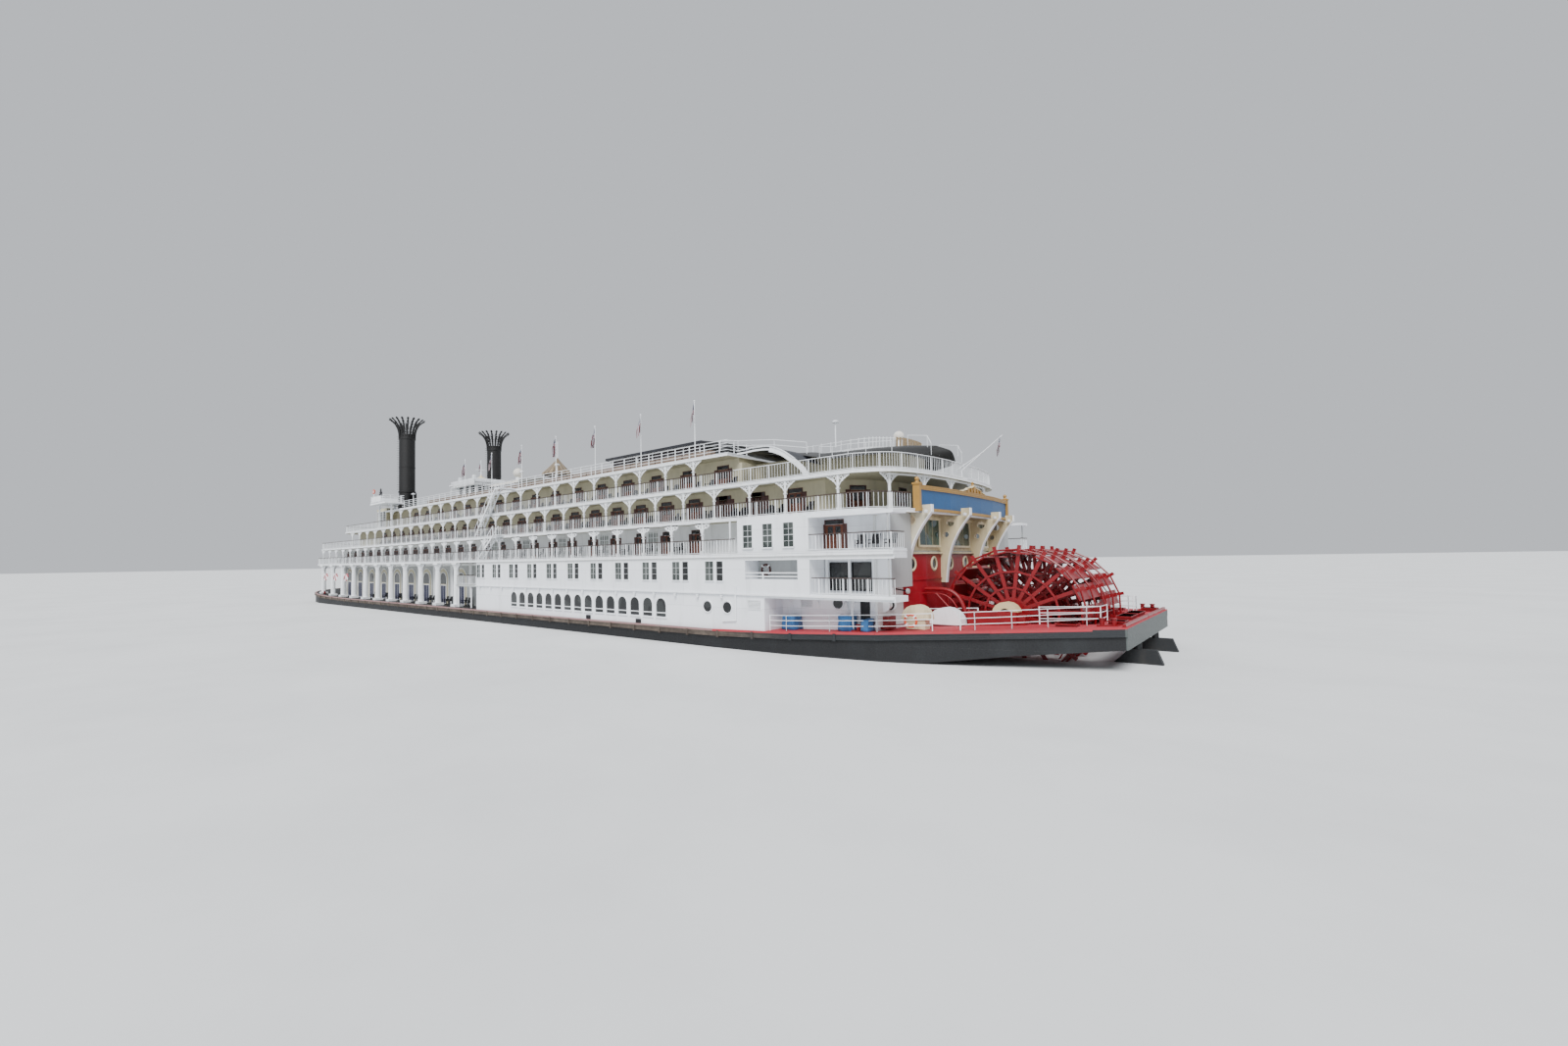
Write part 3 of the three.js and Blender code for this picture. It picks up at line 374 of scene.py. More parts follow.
# A flat ring, half as thick each way from its centre
def annulus(bm, inner, outer, half, centre, material="whiteEnamel", steps=24, axis="Y"):
    band = [(inner, -half), (outer, -half), (outer, half), (inner, half), (inner, -half)]
    turned(bm, band, centre, material, steps, axis)


def asMesh(build):
    bm = bmesh.new()
    build(bm)
    bmesh.ops.recalc_face_normals(bm, faces=bm.faces)
    mesh = bpy.data.meshes.new("stamp")
    bm.to_mesh(mesh)
    bm.free()
    return mesh


# Puts copies of a small mesh into a bigger one
def stamp(bm, mesh, places):
    for place in places:
        copy = mesh.copy()
        copy.transform(place)
        if place.determinant() < 0:
            copy.flip_normals()
        bm.from_mesh(copy)
        bpy.data.meshes.remove(copy)


def at(x, y, z, turn=0.0):
    return Matrix.Translation((x, y, z)) @ Matrix.Rotation(turn, 4, "Z")


# Closes a piece: turns it into the model's frame, keeps only the materials it uses, and hangs it on a body
def finish(bm, name, replaces=(), body="boat", mirror=False, smooth=False, recalc=False):
    if recalc:
        bmesh.ops.recalc_face_normals(bm, faces=bm.faces)
    bm.transform(toRow)
    used = sorted({face.material_index for face in bm.faces})
    for face in bm.faces:
        face.material_index = used.index(face.material_index)
        face.smooth = smooth
    mesh = bpy.data.meshes.new(name)
    bm.to_mesh(mesh)
    bm.free()
    for index in used:
        mesh.materials.append(palette[order[index]])
    pieces = [("Port", mesh)] if mirror else [("", mesh)]
    if mirror:
        other = mesh.copy()
        other.transform(Matrix.Diagonal((1, -1, 1, 1)))
        other.flip_normals()
        pieces.append(("Starboard", other))
    made = []
    for side, shape in pieces:
        piece = addObject(name + side, shape)
        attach(piece, body)
        hidden = [f"{node}_{side.lower()}" if mirror else node for node in replaces]
        if hidden:
            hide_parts(*hidden)
        made.append(piece)
    return made


def height(table, x):
    for (x0, z0), (x1, z1) in pairwise(table):
        if x <= x1:
            return z0 + (z1 - z0) * (x - x0) / (x1 - x0)
    return table[-1][1]


# A smooth line through plan points, a few steps between each two
def smoothLine(points, steps=5):
    ends = [points[0], *points, points[-1]]
    line = []
    for p0, p1, p2, p3 in zip(ends, ends[1:], ends[2:], ends[3:]):
        for k in range(steps):
            t = k / steps
            line.append(tuple(0.5 * (2 * b + (c - a) * t + (2 * a - 5 * b + 4 * c - d) * t * t
                                     + (3 * b - a - 3 * c + d) * t ** 3)
                              for a, b, c, d in zip(p0, p1, p2, p3)))
    return [*line, points[-1]]


# Sizes that several pieces share
boat = {
    "two": 6.53, "three": 9.38, "four": 12.06, "five": 14.81, "six": 17.61, "slab": 0.25,
    "bay": 3.35, "first": 76.24, "wideWall": 13.39,
    "sheer": [(0, 4.92), (6, 4.6), (12, 4.26), (18, 4), (24, 3.83), (30, 3.75), (100, 3.75), (112, 3.88),
              (120, 4.26), (127.4, 4.76)],
    "sternFour": [(10.2, 0.4), (10.33, 4.4), (10.68, 8.86), (11.2, 10.7), (12, 11.85), (13.3, 12.44)],
    "sternFive": [(10.7, 0.4), (10.8, 4.2), (11.3, 7.9), (12.2, 9.9), (14, 10.98)],
    "frontThree": [(118.2, 12.6), (120.2, 12.15), (121.6, 11), (122.3, 9), (122.8, 5), (122.9, 0.4)],
    "frontFour": [(116.6, 12.44), (118.4, 12.05), (119.6, 11), (120.2, 9), (120.5, 5), (120.6, 0.4)],
    "frontFive": [(109.2, 10.98), (110.8, 10.5), (111.8, 9.4), (112.3, 7.5), (112.6, 4), (112.7, 0.4)],
}
sunFloor = 17.62


def stations(low, high):
    return [boat["first"] - boat["bay"] * k for k in range(high, low - 1, -1)]


def deckAt(x):
    return height(boat["sheer"], x)


# Windows, doors and ornaments, each made once: x along the wall, y out of it, z up
def frameOf(bm, wide, tall, bar, proud, material="whiteEnamel", sill=0.0):
    block(bm, (-wide / 2 - bar, -wide / 2), (0, proud), (-bar, tall + bar), material)
    block(bm, (wide / 2, wide / 2 + bar), (0, proud), (-bar, tall + bar), material)
    block(bm, (-wide / 2, wide / 2), (0, proud), (tall, tall + bar), material)
    block(bm, (-wide / 2 - sill, wide / 2 + sill), (0, proud + sill), (-bar - sill / 2, 0), material)


def sash(wide, tall, columns, rows, glass="windowGlass", bar=0.07, proud=0.07, trim="whiteEnamel", sill=0.05):
    def build(bm):
        frameOf(bm, wide, tall, bar, proud, trim, sill)
        block(bm, (-wide / 2, wide / 2), (-0.05, 0.015), (0, tall), glass)
        for k in range(1, columns):
            x = -wide / 2 + wide * k / columns
            block(bm, (x - 0.008, x + 0.008), (0.01, 0.03), (0, tall), trim)
        for k in range(1, rows):
            z = tall * k / rows
            thick = 0.016 if rows % 2 == 0 and k == rows // 2 else 0.007
            block(bm, (-wide / 2, wide / 2), (0.01, 0.032), (z - thick, z + thick), trim)
    return asMesh(build)


def archWindow(wide, tall, glass="windowGlass", trim="whiteEnamel", sillBand=True):
    def build(bm):
        r = wide / 2
        arc = [(r * math.cos(math.pi * k / 8), 0, tall - r + r * math.sin(math.pi * k / 8)) for k in range(9)]
        plate(bm, [(r, 0, 0), *arc, (-r, 0, 0)], (0, 0.015, 0), glass)
        big = r + 0.09
        outer = [(big * math.cos(math.pi * k / 8), 0, tall - r + big * math.sin(math.pi * k / 8))
                 for k in range(9)]
        plate(bm, [(big, 0, -0.05), *outer, (-big, 0, -0.05), (-r, 0, -0.05),
                   *reversed([(p[0], 0, p[2]) for p in arc]), (r, 0, -0.05)], (0, 0.07, 0), trim)
        if sillBand:
            block(bm, (-r, r), (0, 0.08), (0.27, 0.34), trim)
            block(bm, (-big, big), (0, 0.1), (-0.12, -0.05), trim)
    return asMesh(build)


def porthole(radius, rim, rings="whiteEnamel", glass="windowGlass"):
    def build(bm):
        turned(bm, [(0, 0), (radius, 0), (radius, 0.02), (0, 0.02)], (0, 0, 0), glass, 20, "Y")
        turned(bm, [(radius, 0), (radius + rim, 0), (radius + rim, 0.05), (radius + rim * 0.5, 0.09),
                    (radius, 0.05), (radius, 0)], (0, 0, 0), rings, 20, "Y")
    return asMesh(build)


def louvre(wide, tall):
    def build(bm):
        frameOf(bm, wide, tall, 0.05, 0.05)
        for k in range(7):
            z = tall * (k + 0.5) / 7
            beam(bm, (-wide / 2, 0.02, z), (wide / 2, 0.02, z), 0.045, 0.02, up=(0, 1, 1))
        block(bm, (-wide / 2, wide / 2), (-0.02, 0.005), (0, tall), "louvreWhite")
    return asMesh(build)


# A cabin door with a dark light over it and a louvred shutter folded back on each side
def cabinDoor(wide=1.15, tall=2.0, shutter=0.3):
    def build(bm):
        frameOf(bm, wide, tall, 0.06, 0.06, "doorRed")
        block(bm, (-wide / 2, wide / 2), (-0.02, 0.02), (0, tall - 0.28), "doorBrown")
        block(bm, (-wide / 2, wide / 2), (-0.02, 0.025), (tall - 0.26, tall), "windowGlass")
        for x in (-0.28, 0.28):
            block(bm, (x - 0.2, x + 0.2), (0.02, 0.03), (0.95, tall - 0.4), "windowGlass")
            for pair in ((x - 0.22, x - 0.19), (x + 0.19, x + 0.22)):
                block(bm, pair, (0.02, 0.045), (0.1, tall - 0.35), "doorBrown")
        for side in (-1, 1):
            inner, outer = side * (wide / 2 + 0.08), side * (wide / 2 + 0.08 + shutter)
            block(bm, (min(inner, outer), max(inner, outer)), (0, 0.05), (0.05, tall - 0.25), "doorRed")
    return asMesh(build)


def frenchDoor(wide=1.3, tall=2.05):
    def build(bm):
        frameOf(bm, wide, tall, 0.07, 0.06)
        block(bm, (-wide / 2, wide / 2), (-0.02, 0.02), (0, tall), "curtainGlass")
        for k in range(5):
            x = -wide / 2 + wide * k / 4
            half = 0.05 if k in (0, 2, 4) else 0.02
            block(bm, (x - half, x + half), (0.01, 0.045), (0, tall))
        for z in (0.2, 0.75, 1.15, 1.55, 1.98):
            half = 0.16 if z == 0.2 else 0.025
            block(bm, (-wide / 2, wide / 2), (0.01, 0.04), (z - half, z + half))
    return asMesh(build)


# A deck chair of dark iron; it faces out of the wall
def chair():
    def build(bm):
        block(bm, (-0.27, 0.27), (0.05, 0.6), (0.4, 0.46), "darkIron")
        beam(bm, (0, 0.04, 0.46), (0, -0.1, 1.02), 0.5, 0.05, "darkIron", (0, 1, 0))
        for x in (-0.25, 0.25):
            block(bm, (x - 0.03, x + 0.03), (0.02, 0.62), (0.62, 0.67), "darkIron")
            for y in (0.06, 0.56):
                post(bm, x, y, (0, 0.64), 0.025, "darkIron")
    return asMesh(build)


# One side of a fretwork bracket: a scalloped arch band, its top and upright, and two scroll rings
def bracket(reach, drop, thick=0.06):
    def build(bm):
        curve = [(0.06 + (reach - 0.06) * k / 8, -thick / 2,
                  -drop + (drop - 0.07) * (k / 8) ** 0.62 - (0.04 if k % 2 else 0)) for k in range(9)]
        inner = [(p[0] - 0.02, p[1], min(-0.04, p[2] + 0.09)) for p in reversed(curve[::2])]
        plate(bm, [*curve, *inner], (0, thick, 0))
        block(bm, (0.05, reach), (-thick / 2, thick / 2), (-0.05, 0))
        block(bm, (0.0, 0.09), (-thick / 2, thick / 2), (-drop, -0.05))
        for x, z, r in ((0.25, -0.22, 0.15), (0.52, -0.13, 0.08)):
            annulus(bm, r * 0.6, r, thick / 2, (x, 0, z), steps=6)
    return asMesh(build)


# Half of the wide capital on deck three: a fan of two scrolls under a flat head
def capital(reach=0.74):
    def build(bm):
        plate(bm, [(0, -0.05, -0.85), (0.11, -0.05, -0.8), (0.2, -0.05, -0.5), (0.5, -0.05, -0.36),
                   (0.34, -0.05, -0.3), (0.13, -0.05, -0.42), (0, -0.05, -0.42)], (0, 0.14, 0))
        block(bm, (0, reach), (-0.06, 0.06), (-0.06, 0))
        plate(bm, [(reach - 0.1, -0.06, -0.1), (reach, -0.06, -0.1), (reach - 0.05, -0.06, -0.3),
                   (reach - 0.2, -0.06, -0.34)], (0, 0.12, 0))
        for x, z, r in ((0.42, -0.25, 0.2), (0.14, -0.17, 0.11)):
            annulus(bm, r * 0.55, r, 0.05, (x, 0, z), steps=8)
    return asMesh(build)


def lifeRing(colour="orangePlastic"):
    def build(bm):
        ring = [(0.36 + 0.07 * math.cos(2 * math.pi * k / 8), 0.07 + 0.07 * math.sin(2 * math.pi * k / 8))
                for k in range(9)]
        turned(bm, ring, (0, 0, 0), colour, 20, "Y")
        for k in range(4):
            angle = math.pi / 4 + math.pi / 2 * k
            beam(bm, (0.28 * math.cos(angle), 0.07, 0.28 * math.sin(angle)),
                 (0.44 * math.cos(angle), 0.07, 0.44 * math.sin(angle)), 0.1, 0.16, up=(0, 1, 0))
    return asMesh(build)


kit = {
    "sashNarrow": sash(0.61, 1.43, 1, 3, bar=0.05, sill=0.03), "sashWide": sash(0.8, 1.43, 2, 3, "greyGlass",
                                                                                0.05, sill=0.03),
    "sashTall": sash(0.8, 1.62, 2, 4, "greyGlass", 0.05), "arch": archWindow(1.1, 1.48),
    "port": porthole(0.36, 0.08), "bigPort": porthole(0.4, 0.1), "louvre": louvre(1.1, 0.6),
    "door": cabinDoor(),
    "french": frenchDoor(), "chair": chair(), "bracket": bracket(0.92, 0.82),
    "shortBracket": bracket(0.85, 0.82),
    "capital": capital(), "lifeRing": lifeRing(), "ringPort": porthole(0.35, 0.17, "creamEnamel",
                                                                       "greyGlass"),
}


def put(bm, name, *spots):
    stamp(bm, kit[name], [at(*spot) for spot in spots])


print("fittings made")


# Decks
# Each deck is a plate with boards on top, a stone-coloured ceiling below and a moulded white edge
def deck(name, node, side, z, lip=0.06):
    bm = bmesh.new()
    whole = [*side, *[(x, -y) for x, y in reversed(side)]]
    low, high = z - boat["slab"], z
    plate(bm, [(x, y, low) for x, y in whole], (0, 0, boat["slab"]))
    for face in bm.faces:
        if abs(face.normal.z) > 0.9:
            top = face.calc_center_median().z > (low + high) / 2
            face.material_index = order.index("deckBoards" if top else "stoneEnamel")
    for way in (1, -1):
        for (x0, y0), (x1, y1) in pairwise(side):
            if math.hypot(x1 - x0, y1 - y0) > 0.01:
                beam(bm, (x0, way * y0, high - 0.03), (x1, way * y1, high - 0.03), lip, 0.06)
    finish(bm, name, replaces=[node])


facePoints = [(11.57, 5.8), (12.05, 8.6), (12.3, 11.6)]
deckPlans = {
    "deckThree": ("deck_three", [(11.57, 0.4), *facePoints, (12.3, 11.65), (10.15, 11.65), (10.15, 13.54),
                                 (59.4, 13.54), (59.4, 12.6), *smoothLine(boat["frontThree"])],
                                 boat["three"]),
    "deckFour": ("deck_four", [*smoothLine(boat["sternFour"]), *smoothLine(boat["frontFour"])], boat["four"]),
    "deckFive": ("deck_five", [*smoothLine(boat["sternFive"]), *smoothLine(boat["frontFive"])], boat["five"]),
    "sunDeck": ("deck_six", [(25.5, 0.4), (25.5, 9.68), (95.5, 9.68), (95.5, 0.4)], boat["six"]),
}
for name, (node, side, z) in deckPlans.items():
    deck(name, node, side, z)
print("decks")


# Rails
galleryRail = {"high": 1.05, "pitch": 0.25, "bar": 0.021, "post": 0.05, "postPitch": 1.675,
               "grip": "handrail", "grip2": 0.06}
sunRail = {"high": 1.05, "pitch": 0, "bar": 0.03, "post": 0.06, "postPitch": 1.675, "grip": "whiteEnamel",
           "wires": 3, "grip2": 0.035}
ironRail = {"high": 1.05, "pitch": 0.28, "bar": 0.03, "post": 0.06, "postPitch": 1.675, "grip": "handrail",
            "grip2": 0.06}
fineRail = {"high": 1.05, "pitch": 0.24, "bar": 0.016, "post": 0.04, "postPitch": 1.675,
            "grip": "whiteEnamel", "grip2": 0.035}


def balustrade(bm, path, floor, style):
    level = floor if callable(floor) else lambda x: floor
    base = 0.08
    bar = asMesh(lambda b: block(b, (-style["bar"] / 2, style["bar"] / 2),
                                 (-style["bar"] / 2, style["bar"] / 2), (base, style["high"] - 0.05)))
    for (x0, y0), (x1, y1) in pairwise(path):
        run = math.hypot(x1 - x0, y1 - y0)
        if run < 0.02:
            continue
        heading = math.atan2(y1 - y0, x1 - x0)
        top = style["high"]
        beam(bm, (x0, y0, level(x0) + top), (x1, y1, level(x1) + top), 0.09, style["grip2"], style["grip"])
        if style["pitch"]:
            beam(bm, (x0, y0, level(x0) + base), (x1, y1, level(x1) + base), 0.04, 0.03)
            count = max(1, round(run / style["pitch"]))
            stamp(bm, bar, [at(x0 + (x1 - x0) * k / count, y0 + (y1 - y0) * k / count,
                               level(x0 + (x1 - x0) * k / count), heading) for k in range(count)])
        for wire in range(1, style.get("wires", 0) + 1):
            rise = top * wire / (style["wires"] + 1)
            beam(bm, (x0, y0, level(x0) + rise), (x1, y1, level(x1) + rise), 0.035, 0.035)
    travelled = style["postPitch"]
    for (x0, y0), (x1, y1) in pairwise(path):
        run = math.hypot(x1 - x0, y1 - y0)
        while travelled <= run and run > 0:
            x, y = x0 + (x1 - x0) * travelled / run, y0 + (y1 - y0) * travelled / run
            half = style["post"] / 2
            post(bm, x, y, (level(x) + 0.01, level(x) + style["high"] + 0.02), half)
            travelled += style["postPitch"]
        travelled -= run
    bpy.data.meshes.remove(bar)


def inset(points, aft, side):
    return [(x + aft, y - side) for x, y in points]


def railPiece(name, node, path, floor, style, extra=None):
    bm = bmesh.new()
    balustrade(bm, path, floor, style)
    if extra:
        extra(bm)
    finish(bm, name, replaces=[node], mirror=True)


railPiece("railThree", "rail_three", [(21.95, 13.42), (59.3, 13.42), (59.3, 12.48),
                                      *inset(smoothLine(boat["frontThree"]), -0.12, 0.12)], boat["three"],
          ironRail)
railPiece("railFour", "rail_four", [(10.95, 9.1), *inset(smoothLine(boat["sternFour"][3:]), 0.14, 0.12),
                                    *inset(smoothLine(boat["frontFour"]), -0.12, 0.12)], boat["four"],
          galleryRail)
sternPath = [*inset(smoothLine(boat["sternFive"]), 0.14, 0.12), (24, 10.86)]
railPiece("railFive", "rail_five", [(24, 10.86), *inset(smoothLine(boat["frontFive"]), -0.12, 0.12)],
          boat["five"], galleryRail, lambda bm: balustrade(bm, sternPath, boat["five"], fineRail))

# The sun deck's rail, the low wall at the stern end of that deck, and the row of flagpoles on the port side
for side in ("port", "starboard"):
    way = 1 if side == "port" else -1
    bm = bmesh.new()
    balustrade(bm, [(25.62, way * 0.3), (25.62, way * 9.56), (89.2, way * 9.56)], boat["six"], sunRail)
    if side == "port":
        for k in range(7):
            x = 29.1 + 6.7 * k
            pole(bm, x, 9.56, sunFloor, 22.45, 0.042, tip=0.028)
            bmesh.ops.create_icosphere(bm, subdivisions=1, radius=0.08,
                                       matrix=Matrix.Translation((x, 9.56, 22.48)))
    finish(bm, "sunRail" + side.title(), replaces=["rail_six_" + side])
print("rails")


# Galleries: columns with their brackets, doors, windows and chairs
def colonnade(xs, y, low, high, radius, head, wider=()):
    bm = bmesh.new()
    top = high - boat["slab"]
    for x in xs:
        pole(bm, x, y, low + 0.01, top, radius)
        post(bm, x, y, (low + 0.01, low + 0.28), radius * 1.3)
        post(bm, x, y, (top - 0.97, top - 0.9), radius * 1.25)
    for x in xs:
        stamp(bm, kit["shortBracket" if x in wider else head], [at(x, y, top), at(x, y, top)
                                                                @ Matrix.Diagonal((-1, 1, 1, 1))])
    beam(bm, (xs[0] - 0.2, y, top - 0.03), (xs[-1] + 0.2, y, top - 0.03), 0.12, 0.06)
    return bm


fourXs = [15.1, 19.3, 22.5, *stations(-9, 15)]
rows = {
    "Three": (stations(-12, 15), 12.3, boat["three"], boat["four"], 0.1, "capital"),
    "Four": (fourXs, 10.85, boat["four"], boat["five"], 0.085, "bracket", fourXs[:3]),
    "Five": (stations(-5, 14), 9.55, boat["five"], boat["six"], 0.085, "bracket"),
}
for name, sizes in rows.items():
    finish(colonnade(*sizes), "columns" + name, replaces=["columns_" + name.lower()], mirror=True)

# Columns round the stern of deck four, each with brackets that follow the curve
bm = bmesh.new()
sternPosts = [(12.32, 9.1), (11.32, 5.93), (11, 2.0), (11, -2.0), (11.32, -5.93), (12.32, -9.1)]
for k, (x, y) in enumerate(sternPosts):
    pole(bm, x, y, 12.07, 14.55, 0.1)
    post(bm, x, y, (12.07, 12.3), 0.13)
    before, after = sternPosts[max(0, k - 1)], sternPosts[min(5, k + 1)]
    turn = math.atan2(after[1] - before[1], after[0] - before[0])
    put(bm, "shortBracket", (x, y, 14.55, turn), (x, y, 14.55, turn + math.pi))
for (x0, y0), (x1, y1) in pairwise(sternPosts):
    beam(bm, (x0, y0, 14.48), (x1, y1, 14.48), 0.12, 0.12)
finish(bm, "sternPosts", ["stern_columns"])
print("columns")


def bayMiddles(xs):
    return [(a + b) / 2 for a, b in pairwise(xs)]


# Doors and chairs of decks four and five: one door a bay, chairs beside it
def chairsBy(bm, x, y, z, offsets):
    stamp(bm, kit["chair"], [at(x + dx + random.uniform(-0.1, 0.1), y, z, random.uniform(-0.4, 0.4))
                             for dx in offsets])


bm = bmesh.new()
for x in (22.9, 26.3, *stations(-6, 17)):
    put(bm, "door", (x + 0.2, 9.25, 12.1))
    chairsBy(bm, x + 0.2, 9.35, 12.07, (-1.25, 1.25))
slant = math.atan2(2.65, 1.9)
put(bm, "door", (15.55, 7.23, 12.1, slant), (14.2, 2.9, 12.1, math.pi / 2))
finish(bm, "cabinsFour", mirror=True)
bm = bmesh.new()
for k in range(16):
    put(bm, "door", (27.4 + 4.02 * k, 7.95, 14.85))
    chairsBy(bm, 27.4 + 4.02 * k, 8.05, 14.82, (-1.3, 1.3))
finish(bm, "cabinsFive", mirror=True)

# Deck three: a brown door every bay, glazed white doors in every second one, and iron chairs
bm = bmesh.new()
narrowDoor = cabinDoor(0.8, 1.95, 0.28)
for k, x in enumerate(stations(-10, 14)):
    stamp(bm, narrowDoor, [at(x - 0.36 * boat["bay"], 10.7, 9.42)])
    if k % 2:
        put(bm, "french", (x + 0.45, 10.7, 9.42))
    chairsBy(bm, x + 0.4, 11.3, 9.39, (-0.5, 0.6))
finish(bm, "cabinsThree", mirror=True)
print("cabins")


# Main house: windows, wall mouldings, downpipe and the side openings at the stern
mainWall = {
    "pairs": {"wide": 24.41, "narrow": 23.41, "pitch": 3.44, "count": 11, "sill": 7.42},
    "arches": {"first": 29.56, "pitch": 1.56, "count": 15, "sill": 4.5},
    "ports": (24.65, 22.77), "louvre": 20.33, "flushWindows": (20.8, 19.1, 17.4),
}
wallY = boat["wideWall"]
bm = bmesh.new()
pairs = mainWall["pairs"]
for k in range(pairs["count"]):
    put(bm, "sashWide", (pairs["wide"] + pairs["pitch"] * k, wallY, pairs["sill"]))
    put(bm, "sashNarrow", (pairs["narrow"] + pairs["pitch"] * k, wallY, pairs["sill"]))
arches = mainWall["arches"]
for k in range(arches["count"]):
    put(bm, "arch", (arches["first"] + arches["pitch"] * k, wallY, arches["sill"]))
for x in mainWall["ports"]:
    put(bm, "bigPort", (x, wallY, 5.5))
put(bm, "louvre", (mainWall["louvre"], wallY, 5.48))
for x in mainWall["flushWindows"]:
    put(bm, "sashTall", (x, wallY, 9.75))
# Drip moulding between the two storeys, with small lamps under it, and the edge of deck three
beam(bm, (21.9, wallY, 6.5), (59.4, wallY, 6.5), 0.34, 0.08)
beam(bm, (10.2, wallY, 6.48), (21.9, wallY, 6.48), 0.3, 0.1)
beam(bm, (10.2, wallY + 0.02, 9.2), (59.4, wallY + 0.02, 9.2), 0.14, 0.12)
for k in range(16):
    x = 23.2 + 2.35 * k
    block(bm, (x - 0.08, x + 0.08), (wallY, wallY + 0.22), (6.3, 6.4))
    pole(bm, x, wallY + 0.16, 6.3, 6.18, 0.07, "lampGlass", tip=0.1)
pole(bm, 21.95, wallY + 0.09, 7.1, 4.6, 0.06)
rod(bm, (21.95, wallY + 0.09, 4.6), (23.2, wallY + 0.09, 4.5), 0.06)
beam(bm, (22.4, wallY, 9.55), (22.4, wallY, 11.7), 0.1, 0.08, up=(1, 0, 0))
# Fairleads at the foot of the wall
for x in (32.24, 38.9):
    block(bm, (x - 0.27, x + 0.27), (wallY, wallY + 0.14), (3.84, 4.18), "darkIron")
finish(bm, "mainWallFittings", mirror=True)

# Side openings: rails, doors and chairs in them
bm = bmesh.new()
for low, x0, x1, y in ((6.63, 10.15, 15.78, 13.3), (9.44, 10.25, 15.85, 13.42)):
    balustrade(bm, [(x0, 11.8), (x0, y), (x1, y)] if low > 9 else [(x0 + 0.05, y), (x1, y)], low, galleryRail)
stamp(bm, cabinDoor(1.3, 1.95, 0.2), [at(15.1, 11.45, 9.5)])
stamp(bm, sash(1.25, 1.7, 1, 1, trim="darkIron"), [at(14.85, 11.36, 6.9), at(13.25, 11.36, 6.9)])
for x in (12.4, 14.05, 15.7):
    block(bm, (x - 0.08, x + 0.08), (11.35, 11.55), (6.63, 8.95))
for z in (7.75, 8.0):
    rod(bm, (16.8, 13.34, z), (21.1, 13.34, z), 0.045, sides=6)
pole(bm, 19.6, 13.34, 7.56, 8.05, 0.045, sides=6)
# Grey panel on the back wall of the opening: painted shade inside the recess
block(bm, (16.82, 21.08), (11.74, 11.8), (7.58, 8.86), "greyWall")
# The life ring in the recess is dark red: its own colour with painted shade of the recess
stamp(bm, lifeRing("doorRed"), [at(20.4, 11.8, 8.2)])
# Corner pole and cheek panel beside the stern wall are grey: their white paint with painted shade
pole(bm, 10.55, 13.3, 6.6, 12.0, 0.045, "greyWall")
block(bm, (11.2, 12.3), (8.55, 11.5), (7.05, 11.8), "greyWall")
block(bm, (11.22, 12.3), (11.3, 11.52), (6.63, 11.8))
for x0, x1, z0, z1 in ((16.78, 21.11, 7.56, 8.9), (10.15, 15.88, 6.63, 8.9), (10.2, 15.9, 9.48, 11.61)):
    y = wallY + 0.02
    beam(bm, (x0, y, z1), (x1, y, z1), 0.05, 0.06)
    beam(bm, (x1, y, z0), (x1, y, z1), 0.05, 0.06, up=(1, 0, 0))
finish(bm, "sideOpenings", mirror=True)
bm = bmesh.new()
chairsBy(bm, 11.9, 11.95, 9.4, (-1.0, 0, 1.0))
finish(bm, "balconyChairs")
print("main house")


# Low wall beside the stern deck: dark door, ventilator hoop, gussets under the overhang, a wide dark
# window, a porthole and a louvre
bm = bmesh.new()
block(bm, (12.85, 13.5), (11.15, 11.24), (4.3, 6.2), "darkIron")
hoop = smoothLine([(4.3, 11.85), (5.6, 11.85), (6.1, 11.7), (6.2, 11.5), (6.1, 11.3)], 3)
for (z0, y0), (z1, y1) in pairwise(hoop):
    rod(bm, (13.75, y0, z0), (13.75, y1, z1), 0.09)
for x in (14.4, 16.5, 18.6, 20.7):
    plate(bm, [(x, 11.2, 5.5), (x, 11.35, 5.95), (x, 12.0, 6.3), (x, 13.2, 6.42), (x, 11.2, 6.42)],
          (0.09, 0, 0))
block(bm, (12.2, 12.28), (9.1, 11.0), (6.15, 6.55), "windowGlass")
put(bm, "port", (15.1, 11.2, 5.95))
stamp(bm, louvre(0.9, 0.5), [at(17.5, 11.2, 5.6)])
finish(bm, "lowWallFittings", mirror=True, recalc=True)

# Hull: red margin of the deck, fender strips and the strakes of the guard
bm = bmesh.new()
edge = [(6, 10.3), (12, 12.3), (18, 13.25), (24, 13.54), (40, 13.54), (56, 13.54), (72, 13.54), (88, 13.54),
        (100, 13.54), (110, 13.54), (115.5, 13.4), (119.5, 12.7), (122, 11.4), (124.3, 8.9), (126.2, 5.4),
        (127.2, 2)]
for (x0, y0), (x1, y1) in pairwise(edge):
    beam(bm, (x0, y0 + 0.05, deckAt(x0) - 0.01), (x1, y1 + 0.05, deckAt(x1) - 0.01), 0.26, 0.14,
         "deckRed" if x1 < 25 else "wornMargin")
    beam(bm, (x0, y0 + 0.17, deckAt(x0) - 0.1), (x1, y1 + 0.17, deckAt(x1) - 0.1), 0.05, 0.07, "greyTimber")
    beam(bm, (x0, y0 + 0.17, deckAt(x0) - 0.38), (x1, y1 + 0.17, deckAt(x1) - 0.38), 0.05, 0.07, "greyTimber")
beam(bm, (0.05, 7.78, deckAt(0) - 0.01), (6, 10.35, deckAt(6) - 0.01), 0.26, 0.14, "deckRed")
for k in range(34):
    x = 14.5 + 3.0 * k
    y = height([(6, 10.3), (12, 12.3), (18, 13.25), (24, 13.54), (127, 13.54)], x)
    block(bm, (x - 0.09, x + 0.09), (y + 0.1, y + 0.24), (deckAt(x) - 0.5, deckAt(x) - 0.02), "greyTimber")
finish(bm, "guardTrim", mirror=True)

